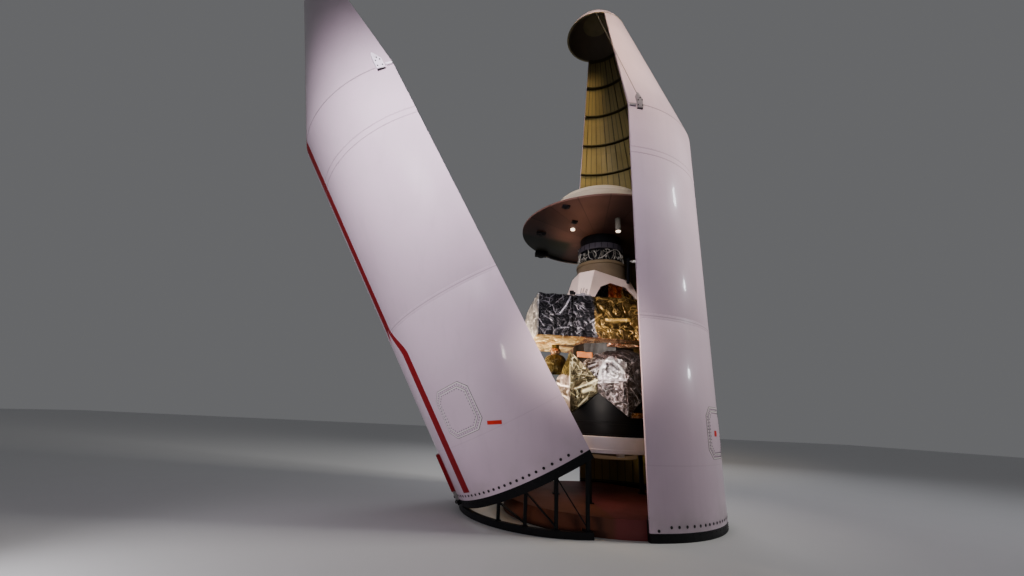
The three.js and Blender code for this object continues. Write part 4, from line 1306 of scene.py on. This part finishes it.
# Folds on the box's front: x and height of both ends, width, and painted highlight, painted shade below zero
BOX_FOLDS = (
    (-1.10, 3.52, -0.99, 3.67, 0.02, 1), (-0.99, 3.67, -0.90, 3.86, 0.02, 1),
    (-1.36, 3.64, -1.24, 3.78, 0.015, 0.7),
    (-1.45, 3.48, -1.24, 3.36, 0.018, 0.8), (-1.50, 3.39, -1.42, 3.27, 0.015, 0.8),
    (-0.82, 3.75, -0.67, 3.61, 0.015, 0.7), (-0.79, 3.14, -0.69, 3.22, 0.02, 0.8),
    (-1.41, 3.20, -1.26, 3.19, 0.02, 0.7), (-1.16, 3.22, -0.93, 3.26, 0.02, 0.8),
    (-1.15, 3.37, -1.04, 3.41, 0.015, 0.6), (-1.38, 3.29, -1.24, 3.27, 0.015, 0.7),
    (-1.46, 3.77, -1.33, 3.74, 0.015, 0.5), (-1.32, 3.79, -1.24, 3.84, 0.015, 0.5),
    (-1.20, 3.48, -1.20, 3.21, 0.02, -0.8), (-0.87, 3.84, -0.87, 3.21, 0.02, -0.7),
    (-0.52, 3.38, -0.30, 3.55, 0.02, 0.9), (-0.47, 3.32, -0.35, 3.46, 0.015, 0.9),
    (-0.49, 3.22, -0.37, 3.34, 0.015, 0.8), (-0.49, 3.18, -0.33, 3.23, 0.015, 0.7),
    (-0.46, 3.84, -0.42, 3.69, 0.035, -1), (-0.42, 3.69, -0.37, 3.58, 0.03, -1),
    (-0.33, 3.71, -0.27, 3.64, 0.03, 0.8), (-0.21, 3.44, 0.23, 3.47, 0.045, 1),
    (-0.07, 3.39, 0.18, 3.43, 0.03, 0.7),
    (-0.12, 3.71, 0.01, 3.84, 0.015, 0.7), (-0.05, 3.57, 0.12, 3.65, 0.018, 0.7),
    (-0.04, 3.78, 0.04, 3.66, 0.018, -0.8), (-0.36, 3.31, -0.18, 3.30, 0.02, 0.9),
    (-0.06, 3.23, 0.10, 3.17, 0.018, 0.7), (0.21, 3.15, 0.42, 3.36, 0.018, 0.8),
    (0.31, 3.62, 0.42, 3.68, 0.015, 0.8), (0.31, 3.78, 0.35, 3.73, 0.015, 0.7),
    (-0.15, 3.27, 0.01, 3.30, 0.02, -0.7), (0.01, 3.36, 0.11, 3.40, 0.015, 0.7),
    (-0.43, 3.86, -0.17, 3.85, 0.02, 0.8), (-0.63, 3.39, -0.56, 3.33, 0.015, 0.6),
    (0.60, 3.20, 0.78, 3.45, 0.018, 0.7),
    (0.92, 3.70, 1.10, 3.60, 0.018, 0.7), (1.05, 3.25, 1.32, 3.38, 0.02, 0.8))


def rim_point(i, radius):
    angle = math.radians(BLANKET["turn"] + 30 * i)
    return radius * math.cos(angle), radius * math.sin(angle)


def bay_outline(scale):
    radii = (BLANKET["ridge"], BLANKET["valley"])
    return [[v * scale for v in rim_point(i, radii[i % 2])] for i in range(12)]


class FAIRING_OT_bay(bpy.types.Operator):
    """Makes the foil-wrapped bay behind the blankets"""
    bl_idname = "fairing.bay"
    bl_label = "Propulsion bay"

    def execute(self, context):
        bottom, top = 2.2503, context.scene.fairing_craft.box_bottom - SEAT
        shoulder = BLANKET["shoulder"]
        bm = bmesh.new()
        for scale, high in ((BODY_SCALE, top), (DECK_SCALE, shoulder)):
            add_to(bm, extruded([(x, y, bottom) for x, y in bay_outline(scale)], (0, 0, high - bottom)))
        divided(bm, 14)
        crumpled(bm, 0.030, 6.0, 3.1, lambda p: 1 if shoulder + 0.02 < p.z < top - 0.01 else 0)
        piece("bay_foil", bm, "bay_black", "black_foil", "propulsion_bay")
        return {"FINISHED"}


class FAIRING_OT_blankets(bpy.types.Operator):
    """Makes the pointed foil blankets folded over the bay's ridges"""
    bl_idname = "fairing.blankets"
    bl_label = "Foil blankets"

    def execute(self, context):
        b = BLANKET
        for k, (slot, finishes) in enumerate(BLANKET_FINISHES):
            apex = b["shoulder"] if k in (1, 5) else b["apex"]
            ridge = rim_point(2 * k, b["ridge"])
            bm = bmesh.new()
            low, high = (bm.verts.new((*ridge, z)) for z in (b["point"], apex))
            for x, y in (rim_point(2 * k + step, b["valley"] - 0.002) for step in (-1, 1)):
                near = (x + (ridge[0] - x) * 0.004, y + (ridge[1] - y) * 0.004)
                bottom, top = (bm.verts.new((*near, z)) for z in (b["low"], b["shoulder"]))
                bm.faces.new([low, bottom, top, high])
            face_outwards(bm)
            first = bm.faces[:][0]
            if (first.calc_center_median() - Vector((0, 0, 2.2))).dot(first.normal) < 0:
                bmesh.ops.reverse_faces(bm, faces=bm.faces[:])
            divided(bm, 40)
            bmesh.ops.solidify(bm, geom=bm.faces[:], thickness=b["thick"])
            face_outwards(bm)
            along = Vector(ridge).orthogonal()
            for face in bm.faces:
                p = face.calc_center_median()
                face.material_index = 0 if Vector((p.x, p.y)).dot(along) > 0 else 1
                # The upper part of the first blanket's other facet takes the dark olive foil as painted shade
                if k == 0 and face.material_index == 1 and p.z > 2.42 + noise.noise(p * 4) * 0.1:
                    face.material_index = 2
            folded(bm, BLANKET_FOLDS.get(k, ()))
            crumpled(bm, 0.020, 7.5, 5.0 + k)
            piece(f"blanket_{k + 1}", bm, finishes, slot, f"lower_blanket_{k + 1}", 25)
        return {"FINISHED"}


class FAIRING_OT_rounded_blanket(bpy.types.Operator):
    """Makes the rounded blanket above the silver one"""
    bl_idname = "fairing.rounded_blanket"
    bl_label = "Rounded blanket"

    def execute(self, context):
        low = BLANKET["shoulder"] + SEAT
        bm = bmesh.new()
        bmesh.ops.create_uvsphere(bm, u_segments=190, v_segments=120, radius=1)
        bmesh.ops.scale(bm, vec=(0.850, 0.600, 0.660), verts=bm.verts[:])
        bmesh.ops.translate(bm, vec=(0.200, -0.350, low), verts=bm.verts[:])
        cut_away(bm, Vector((0, 0, low)), Vector((0, 0, -1)))
        for point, out in outward_planes(bay_outline(DECK_SCALE)):
            cut_away(bm, point, out)
        face_outwards(bm)
        # A patch is painted as a highlight, and the right and upper part takes the darker grey foil as painted
        # shade
        for face in bm.faces:
            p = face.calc_center_median()
            wobble = noise.noise(p * 5)
            bright = (p - Vector((-0.09, -0.87, 2.54))).length < 0.24 + wobble * 0.10
            face.material_index = 2 if bright else 0 if p.x < -0.22 + wobble * 0.10 and p.z < 2.80 else 1
        folded(bm, DOME_FOLDS)
        crumpled(bm, 0.028, 5.0, 2.0)
        made = piece("dome_blanket", bm, ["silver_foil", "grey_foil", "bright_silver_foil"], "silver_foil",
                     "rounded_blanket", 25)
        return {"FINISHED"}


THRUSTER_PLACE = Vector((-0.990, 0.050, 0))
# Radius and height along the bell, from its neck to its mouth and back inside
BELL = (
    (0.075, 2.880), (0.110, 2.876), (0.150, 2.862), (0.186, 2.835), (0.213, 2.792), (0.228, 2.700), (0.240, 2.600),
    (0.250, 2.505), (0.246, 2.500), (0.224, 2.500), (0.205, 2.640), (0.180, 2.780), (0.120, 2.820), (0, 2.830))


class FAIRING_OT_thruster(bpy.types.Operator):
    """Makes the foil-covered thruster bell under the box"""
    bl_idname = "fairing.thruster"
    bl_label = "Thruster"

    def execute(self, context):
        top = context.scene.fairing_craft.box_bottom - SEAT
        bm = full_turn([(0, top), (0.075, top), *BELL], 64)
        bmesh.ops.translate(bm, vec=THRUSTER_PLACE, verts=bm.verts[:])
        piece("thruster_bell", bm, "olive_foil", "gold_foil", "thruster")
        # Amber wrapping round the neck, gathered into a knob
        knob = bmesh.new()
        bmesh.ops.create_uvsphere(knob, u_segments=48, v_segments=32, radius=0.105)
        bmesh.ops.scale(knob, vec=(1, 1, 0.80), verts=knob.verts[:])
        bmesh.ops.translate(knob, vec=THRUSTER_PLACE + Vector((0, 0, 2.955)), verts=knob.verts[:])
        crumpled(knob, 0.040, 16.0, 4.0)
        piece("thruster_knob", knob, "amber_foil", "gold_foil", crease=25)
        return {"FINISHED"}


# Name and finish of each loose strip under the box, and its corners
STRIPS = (
    ("copper_strip", "copper_foil", (-0.13, -0.86, 2.985), (0.10, -0.70, 3.030)),
    ("copper_strip_long", "amber_foil", (0.10, -0.86, 2.975), (0.62, -0.70, 3.020)),
    ("orange_panel", "orange_sheet", (-0.70, -0.64, 2.755), (-0.40, -0.60, 2.865)))


class FAIRING_OT_equipment_box(bpy.types.Operator):
    """Makes the equipment box in crumpled foil, with another foil on each side"""
    bl_idname = "fairing.equipment_box"
    bl_label = "Equipment box"

    def execute(self, context):
        c = context.scene.fairing_craft
        bm = bmesh.new()
        box(bm, (-c.box_half_x, -c.box_half_y, c.box_bottom), (c.box_half_x, c.box_half_y, c.box_top))
        soften_edges(bm, bm.edges[:], 0.012, 1)
        for axis, cuts in ((0, 140), (1, 60), (2, 38)):
            along = [e for e in bm.edges if abs((e.verts[0].co - e.verts[1].co)[axis]) > 0.5]
            bmesh.ops.subdivide_edges(bm, edges=along, cuts=cuts, use_grid_fill=True)
        bm.normal_update()
        # Painted light: the left part of the underside takes the bright gold foil, and the left side the pale
        # silver foil
        for face in bm.faces:
            p, n = face.calc_center_median(), face.normal
            wobble = noise.noise(p * 4) * 0.06
            if n.z < -0.7:
                face.material_index = 3 if p.x < -0.62 + wobble else 4
            elif n.x < -0.7:
                face.material_index = 2
            elif n.y < -0.7 and p.x > -0.46 + wobble + max(0, 3.30 - p.z) * 0.5:
                face.material_index = 1
            else:
                face.material_index = 0
        front = -c.box_half_y
        folded(bm, [(x0, front, z0, x1, front, z1, width, light) for x0, z0, x1, z1, width, light in BOX_FOLDS])
        # The blanket on the left side bulges
        for vert in bm.verts:
            if vert.co.x < -c.box_half_x + 0.02:
                up = max(0, math.sin(math.pi * (vert.co.z - c.box_bottom) / (c.box_top - c.box_bottom)))
                across = max(0, math.cos(math.pi * vert.co.y / 2 / c.box_half_y))
                vert.co.x -= 0.07 * up ** 0.5 * across ** 0.5
        # The foil lies flat where the bay and the tower meet the box
        crumpled(bm, 0.034, 6.5, 1.0,
                 lambda p: 0 if math.hypot(p.x, p.y) < 1.0 and abs(p.z - 3.49) > 0.40 else 1)
        foils = ["dark_foil", "gold_brown_foil", "pale_silver_foil", "bright_gold_foil", "amber_foil"]
        piece("box_foil", bm, foils, "black_foil", "equipment_box", 25)
        # A dark socket and a grey tray on the front edge of the top, and two loose strips under the box
        top = c.box_top + 0.010
        socket = bmesh.new()
        rod(socket, (-0.87, -0.915, top), (-0.87, -0.925, top + 0.075), 0.036, 20, 0.044)
        rod(socket, (-0.83, -0.915, top), (-0.81, -0.925, top + 0.050), 0.022, 14)
        piece("box_socket", socket, "satin_black", "black_foil")
        tray = bmesh.new()
        block(tray, (-0.79, -0.940, top - 0.020), (-0.50, -0.780, top + 0.018), 0.006)
        block(tray, (-0.70, -0.946, top), (-0.62, -0.930, top + 0.040), 0.003)
        piece("box_tray", tray, "bracket_grey", "silver_foil")
        for name, finish_name, low, high in STRIPS:
            strip = bmesh.new()
            block(strip, low, high, 0.008)
            divided(strip, 10, 0.03)
            crumpled(strip, 0.018, 14.0, 6.0)
            piece(name, strip, finish_name, "gold_foil", crease=25)
        return {"FINISHED"}


# Foil-wrapped packs behind the arch: middle of the front in plan, half width, depth, top and finish
TOWER_PACKS = (
    ("tower_pack_dark", 0.020, -0.330, 0.360, 0.50, 4.400, "black_foil"),
    ("tower_pack_orange", 0.235, -0.240, 0.200, 0.30, 4.390, "orange_foil"),
    ("tower_pack_gold", 0.560, -0.110, 0.170, 0.30, 4.330, "gold_brown_foil"))


class FAIRING_OT_tower(bpy.types.Operator):
    """Gives the white tower its paint, the packs behind its arch, its wires and the drum"""
    bl_idname = "fairing.tower"
    bl_label = "Tower"

    def execute(self, context):
        c = context.scene.fairing_craft
        repaint("tower", "tower_paint")
        turn = Matrix.Rotation(math.radians(30.6), 4, "Z")
        for name, x, y, half, depth, top, finish_name in TOWER_PACKS:
            bm = bmesh.new()
            low = c.box_top + 0.010
            place = Matrix.Translation((x, y, (low + top) / 2)) @ turn @ Matrix.Translation((0, depth / 2, 0))
            bmesh.ops.create_cube(bm, size=1, matrix=place @ Matrix.Diagonal((2 * half, depth, top - low, 1)))
            divided(bm, 24)
            crumpled(bm, 0.060, 9.0, 9.0 + x, lambda p: 1 if p.z > 3.93 else 0)
            piece(name, bm, finish_name, "gold_foil", crease=25)
        # Wires that run up the tower's foot
        foot = c.box_top
        wires = [[(x, -0.925, foot + 0.02), (x + 0.012, -0.900, foot + 0.09),
                  (x + 0.030 + 0.01 * i, -0.880, foot + 0.16 + 0.02 * (i % 2))]
                 for i, x in enumerate((-0.70, -0.655, -0.61, -0.585))]
        wiring("tower_wires", wires, 0.005, "wire_black", "black_paint")
        low, high, r = c.tower_top + SEAT, c.drum_top, c.drum_radius
        drum = full_turn([
            (0, low), (r - 0.016, low), (r - 0.010, low + 0.006), (r - 0.010, high - 0.075),
            (r + 0.004, high - 0.068), (r + 0.008, high - 0.060), (r + 0.008, high - 0.008), (r, high),
            (0, high)])
        for face in drum.faces:
            face.material_index = 1 if face.calc_center_median().z > high - 0.074 else 0
        piece("khaki_drum", drum, ["khaki_paint", "khaki_rim"], "khaki_paint", "drum")
        # A dark strut beside the drum, with a pale block at its top
        strut = bmesh.new()
        rod(strut, (0.415, -0.500, c.tower_top - 0.10), (0.440, -0.500, high + 0.030), 0.034, 20)
        rod(strut, (0.440, -0.500, high + 0.025), (0.440, -0.500, high + 0.055), 0.050, 20)
        piece("drum_strut", strut, "satin_black", "black_paint")
        pale = bmesh.new()
        block(pale, (0.520, -0.530, high - 0.020), (0.640, -0.470, high + 0.030), 0.006)
        block(pale, (0.470, -0.512, high - 0.004), (0.530, -0.488, high + 0.014), 0.003)
        piece("strut_block", pale, "plain_white", "white_paint")
        return {"FINISHED"}


# Pale wires round the neck, as degrees and height of their points
NECK_WIRES = (
    ((221, 5.14), (222, 5.06), (223, 4.98), (227, 4.92), (233, 4.89)),
    ((246, 4.90), (254, 4.91), (262, 4.96), (270, 5.02), (280, 5.08), (290, 5.12), (300, 5.12), (308, 5.06),
     (310, 4.98)),
    ((262, 4.96), (265, 4.93), (266, 4.89)), ((264, 5.10), (270, 5.11), (276, 5.09)),
    ((190, 5.14), (193, 5.02), (189, 4.94), (194, 4.90)), ((180, 5.12), (183, 5.00), (181, 4.90)),
    ((286, 4.90), (292, 4.96), (298, 4.93), (303, 4.98), (309, 4.91)),
    ((318, 5.08), (321, 4.98), (327, 4.92), (330, 4.89)), ((236, 5.08), (242, 5.00), (240, 4.93)),
    ((205, 5.00), (212, 4.94), (218, 4.97)), ((20, 5.10), (30, 4.95), (45, 5.05)),
    ((90, 5.12), (100, 4.94), (118, 5.00)), ((140, 5.08), (152, 4.93), (166, 5.02)))
# Bright plugs round the neck, as degrees, height and size
NECK_PLUGS = (
    (176, 5.240, 0.028), (190, 5.100, 0.030), (206, 5.060, 0.034), (200, 4.970, 0.022), (212, 4.925, 0.018),
    (184, 5.020, 0.024), (317, 4.995, 0.018), (330, 4.905, 0.030), (267, 4.950, 0.016), (300, 4.930, 0.014),
    (40, 5.000, 0.024), (110, 5.050, 0.026), (150, 4.960, 0.022))


def on_circle(radius, angle, height):
    return radius * math.cos(angle), radius * math.sin(angle), height


class FAIRING_OT_neck(bpy.types.Operator):
    """Makes the dark neck with its posts and fixed wiring"""
    bl_idname = "fairing.neck"
    bl_label = "Neck"

    def execute(self, context):
        c = context.scene.fairing_craft
        low, top, collar = c.drum_top + SEAT, c.neck_top, c.collar_top
        neck = full_turn([
            (0, low), (0.500, low), (0.500, low + 0.030), (0.430, low + 0.040), (0.430, collar - 0.140),
            (0.492, collar - 0.130), (0.500, collar - 0.122), (0.500, collar - 0.006), (0.494, collar),
            (0.440, collar), (0.440, top), (0, top)], 72)
        for face in neck.faces:
            p = face.calc_center_median()
            on_collar = collar - 0.13 < p.z < collar + 0.001 and math.hypot(p.x, p.y) > 0.46
            face.material_index = 1 if on_collar else 0
        post = bmesh.new()
        block(post, (0.430, -0.012, low + 0.035), (0.475, 0.012, collar - 0.12), 0.003)
        block(post, (0.498, -0.006, collar - 0.115), (0.505, 0.006, collar - 0.010), 0.002)
        repeat_round(post, 345, 23)
        add_to(neck, post)
        piece("neck_core", neck, ["satin_black", "collar_grey"], "black_paint", "neck")
        # Dark wires that sag between the posts, each a little differently
        dark = []
        for i in range(36):
            turn = math.radians(10 * i + 5 * math.sin(i * 2.3))
            span = math.radians(14 + 9 * math.sin(i * 1.7))
            drop = 0.12 + 0.09 * math.sin(i * 3.1)
            high = collar - 0.15 - 0.05 * abs(math.sin(i * 1.3))
            sag = [high - drop * math.sin(math.pi * j / 6) for j in range(7)]
            dark.append([on_circle(0.484 + 0.006 * math.sin(j + i), turn + span * j / 6, z)
                         for j, z in enumerate(sag)])
        wiring("neck_wires_dark", dark, 0.007, "wire_grey", "black_paint")
        pale = [[on_circle(0.500, math.radians(degrees), z) for degrees, z in path] for path in NECK_WIRES]
        wiring("neck_wires_pale", pale, 0.0085, "wire_pale", "white_paint")
        plugs = bmesh.new()
        for degrees, z, size in NECK_PLUGS:
            made = bmesh.ops.create_cone(plugs, cap_ends=True, segments=12, radius1=size, radius2=size * 0.7,
                                         depth=0.030, matrix=facing(math.radians(degrees), 0.492, z))
            soften_edges(plugs, edges_of(made["verts"]), 0.002, 1)
        piece("neck_plugs", plugs, "plug_metal", "steel")
        return {"FINISHED"}


def dish_underside(x, y):
    """Height of the dish's underside over a place"""
    c = bpy.context.scene.fairing_craft
    radius, hub, knee = math.hypot(x, y), 0.660, 0.7 * c.dish_radius
    low, bend = c.neck_top + 0.006, c.dish_rim - 0.060
    if radius < knee:
        return low + (bend - low) * max(0, radius - hub) / (knee - hub)
    return bend + (c.dish_rim - bend) * (radius - knee) / (c.dish_radius - knee)


# Pads under the dish: middle, half width, half depth and how far each hangs down
PADS = (
    (-1.06, -1.22, 0.075, 0.055, 0.030), (-0.77, -0.74, 0.060, 0.050, 0.030), (-1.36, 0.01, 0.100, 0.060, 0.050),
    (-1.17, 1.22, 0.150, 0.080, 0.110), (1.10, -0.80, 0.070, 0.050, 0.030), (0.90, 0.95, 0.090, 0.060, 0.040))
LAMP, SMALL_LAMP = (0.06, -1.02), (-0.74, -0.45)


class FAIRING_OT_dish(bpy.types.Operator):
    """Makes the dish with its fittings, and the white cover above it"""
    bl_idname = "fairing.dish"
    bl_label = "Dish and cover"

    def execute(self, context):
        c = context.scene.fairing_craft
        r, rim, low = c.dish_radius, c.dish_rim, c.neck_top + SEAT
        knee, back = 0.7 * r, rim + 0.045
        bm = full_turn([
            (0, low), (0.640, low), (0.660, low + 0.006), (knee, rim - 0.060), (r - 0.010, rim), (r, rim + 0.006),
            (r, back - 0.004), (r - 0.006, back), (knee, back + 0.020), (0, back + 0.020)], 144)
        piece("dish_shell", bm, "dish_skin", "dish_brown", "dish")
        bottom = back + 0.020 + SEAT
        cover = full_turn([
            (0, bottom), (1.210, bottom), (1.490, bottom + 0.016), (1.500, bottom + 0.030),
            (1.500, bottom + 0.115), (1.490, bottom + 0.126), (1.380, bottom + 0.205), (1.250, bottom + 0.320),
            (1.110, 6.190), (1.005, 6.285), (1.012, 6.292), (1.008, 6.316), (0.962, 6.376), (0.950, 6.380),
            (0.400, 6.394), (0, 6.400)], 120)
        piece("dish_cover_shell", cover, "cover_paint", "white_paint", "dish_cover")
        pads = bmesh.new()
        for x, y, wide, deep, drop in PADS:
            under = dish_underside(x, y)
            block(pads, (x - wide, y - deep, under - drop), (x + wide, y + deep, under + 0.010), 0.012)
            rod(pads, (x, y, under - drop - 0.020), (x, y, under - drop + 0.004), wide * 0.5, 20)
        piece("dish_pads", pads, "recess_dark", "black_paint")
        tube, lights = bmesh.new(), bmesh.new()
        under, small_under = dish_underside(*LAMP), dish_underside(*SMALL_LAMP)
        for bm, place, bottom, top, radius in (
                (tube, LAMP, under - 0.270, under + 0.010, 0.055),
                (tube, LAMP, under - 0.180, under - 0.160, 0.060),
                (lights, LAMP, under - 0.285, under - 0.268, 0.048),
                (lights, SMALL_LAMP, small_under - 0.028, small_under + 0.004, 0.045)):
            rod(bm, (*place, bottom), (*place, top), radius, 28)
        piece("lamp_tube", tube, "wire_grey", "steel")
        piece("lamp_lenses", lights, "lamp_glow", "white_paint")
        # A grey strip with a pale pipe along its foot, inside the far rim
        for name, inner, outer, foot, head, start, sweep, finish_name, slot in (
                ("rim_strip", 0.075, 0.055, -0.060, 0.002, 94, 36, "strip_grey", "black_paint"),
                ("rim_pipe", 0.100, 0.080, -0.078, -0.056, 92, 40, "plain_white", "white_paint")):
            outline = [(r - inner, rim + foot), (r - outer, rim + foot), (r - outer, rim + head),
                       (r - inner, rim + head)]
            piece(name, lathe(outline, math.radians(start), math.radians(sweep), 24), finish_name, slot)
        return {"FINISHED"}


# Stage

# Place, target, width, height, power, spread in degrees, colour, and whether gloss shows it
LIGHTS = (
    ("key", (-6.3, -9.0, 7.6), (-3.3, -1.5, 6.3), 3, 3, 235, 52, (1.0, 0.95, 1.0), False),
    ("bounce", (-7.5, -5.0, 0.7), (-2.2, -1.2, 1.6), 2, 1, 80, 120, (1.0, 0.97, 1.0), False),
    ("top", (-1.5, -10, 14), (1.2, -0.7, 9.8), 2.5, 2.5, 170, 40, (1.0, 0.78, 0.52), False),
    ("inner", (-1.0, -3.2, 13.5), (0.6, 0.3, 8), 2, 2, 30, 180, (1.0, 0.88, 0.66), False),
    ("podium", (-0.3, -0.6, 1.02), (-0.3, -0.5, 0), 1.8, 1.8, 12, 180, (1.0, 0.80, 0.62), False),
    ("craft", (-2.5, 0.3, 2.4), (-0.6, -0.2, 2.95), 0.6, 0.6, 230, 105, (1.0, 0.78, 0.55), False),
    ("front", (-2.9, -6.5, 2.6), (-0.3, -0.7, 2.85), 0.9, 0.9, 21, 24, (1.0, 0.88, 0.80), True),
    ("hall", (11, -2.0, 8), (1.5, 0, 6.8), 3, 3, 560, 80, (1.0, 0.96, 0.86), False),
    ("streak_high", (13, -4, 13), (1.0, 0, 6.5), 0.5, 1.6, 200, 180, (0.9, 0.94, 1.0), True),
    ("streak_low", (13, -4, 5.4), (1.0, 0, 3.5), 0.4, 0.7, 110, 180, (0.9, 0.94, 1.0), True),
    ("back", (5, 12, 10), (0, 0, 6), 6, 6, 500, 180, (0.95, 0.97, 1.0), False))
# The camera's place, its turns in radians, and its focal length in pixels of a picture this wide
CAMERA = {"place": (-2.5931, -8.3976, 1.5710), "yaw": 0.0751, "pitch": 0.3081, "roll": 0.0472,
          "focal": 411.68, "picture": 1024, "sensor": 36}


class FAIRING_OT_stage(bpy.types.Operator):
    """Makes the pale floor, the soft lights and the camera"""
    bl_idname = "fairing.stage"
    bl_label = "Stage"

    def execute(self, context):
        scene = context.scene
        bm = bmesh.new()
        bmesh.ops.create_grid(bm, x_segments=1, y_segments=1, size=60)
        mesh = bpy.data.meshes.new("floor")
        bm.to_mesh(mesh)
        bm.free()
        floor = bpy.data.objects.new("floor", mesh)
        scene.collection.objects.link(floor)
        pale = Paint("floor_pale", (0.62, 0.62, 0.63), 0.5)
        pale.wear({"Roughness": 0.45 + pale.noise(1.5, 3) * 0.15})
        mesh.materials.append(pale.material)

        scene.world = bpy.data.worlds.new("studio")
        scene.world.use_nodes = True
        background = scene.world.node_tree.nodes["Background"].inputs
        background["Color"].default_value = (0.80, 0.81, 0.84, 1)
        background["Strength"].default_value = 0.17
        for name, at, target, wide, tall, power, spread, tint, shines in LIGHTS:
            light = bpy.data.lights.new(name, "AREA")
            light.shape = "RECTANGLE"
            light.size = wide
            light.size_y = tall
            light.energy = power
            light.spread = math.radians(spread)
            light.color = tint
            lamp = bpy.data.objects.new(name, light)
            lamp.location = at
            lamp.rotation_euler = (Vector(target) - Vector(at)).to_track_quat("-Z", "Y").to_euler()
            lamp.visible_camera = False
            lamp.visible_glossy = shines
            scene.collection.objects.link(lamp)

        yaw, pitch, roll = CAMERA["yaw"], CAMERA["pitch"], CAMERA["roll"]
        ahead = Vector((math.sin(yaw) * math.cos(pitch), math.cos(yaw) * math.cos(pitch), math.sin(pitch)))
        level = Vector((math.cos(yaw), -math.sin(yaw), 0))
        upward = level.cross(ahead)
        right = level * math.cos(roll) + upward * math.sin(roll)
        up = upward * math.cos(roll) - level * math.sin(roll)
        data = bpy.data.cameras.new("photo_view")
        data.sensor_width = CAMERA["sensor"]
        data.lens = CAMERA["focal"] * CAMERA["sensor"] / CAMERA["picture"]
        data.clip_end = 200
        camera = bpy.data.objects.new("photo_view", data)
        turn = Matrix((right, up, -ahead)).transposed().to_4x4()
        camera.matrix_world = Matrix.Translation(CAMERA["place"]) @ turn
        scene.collection.objects.link(camera)
        scene.camera = camera
        return {"FINISHED"}


class FAIRING_PT_panel(bpy.types.Panel):
    """Lists the makers of the fairing's pieces"""
    bl_label = "Payload fairing"
    bl_idname = "FAIRING_PT_panel"
    bl_space_type = "VIEW_3D"
    bl_region_type = "UI"
    bl_category = "Fairing"

    def draw(self, context):
        for name in GROUPS:
            frame_box = self.layout.box()
            settings = getattr(context.scene, name)
            for value in settings.__annotations__:
                frame_box.prop(settings, value)
        for operator in OPERATORS:
            self.layout.operator(operator.bl_idname)


OPERATORS = (
    FAIRING_OT_stage, FAIRING_OT_skins, FAIRING_OT_inner_structure, FAIRING_OT_nose_cap, FAIRING_OT_doors,
    FAIRING_OT_fasteners, FAIRING_OT_brackets, FAIRING_OT_right_stand, FAIRING_OT_left_stand, FAIRING_OT_podium,
    FAIRING_OT_payload_stand, FAIRING_OT_bay, FAIRING_OT_blankets, FAIRING_OT_rounded_blanket,
    FAIRING_OT_thruster, FAIRING_OT_equipment_box, FAIRING_OT_tower, FAIRING_OT_neck, FAIRING_OT_dish,
)
GROUPS = {
    "fairing_sizes": FairingSizes,
    "fairing_stand": StandSizes,
    "fairing_craft": SpacecraftSizes,
    "fairing_colours": FairingColours,
}
CLASSES = (*GROUPS.values(), *OPERATORS, FAIRING_PT_panel)


def register():
    for one in CLASSES:
        bpy.utils.register_class(one)
    for name, group in GROUPS.items():
        setattr(bpy.types.Scene, name, bpy.props.PointerProperty(type=group))


def unregister():
    for name in GROUPS:
        delattr(bpy.types.Scene, name)
    for one in reversed(CLASSES):
        bpy.utils.unregister_class(one)


def main():
    register()
    for operator in OPERATORS:
        getattr(bpy.ops.fairing, operator.bl_idname.split(".")[1])()


if __name__ == "__main__":
    main()
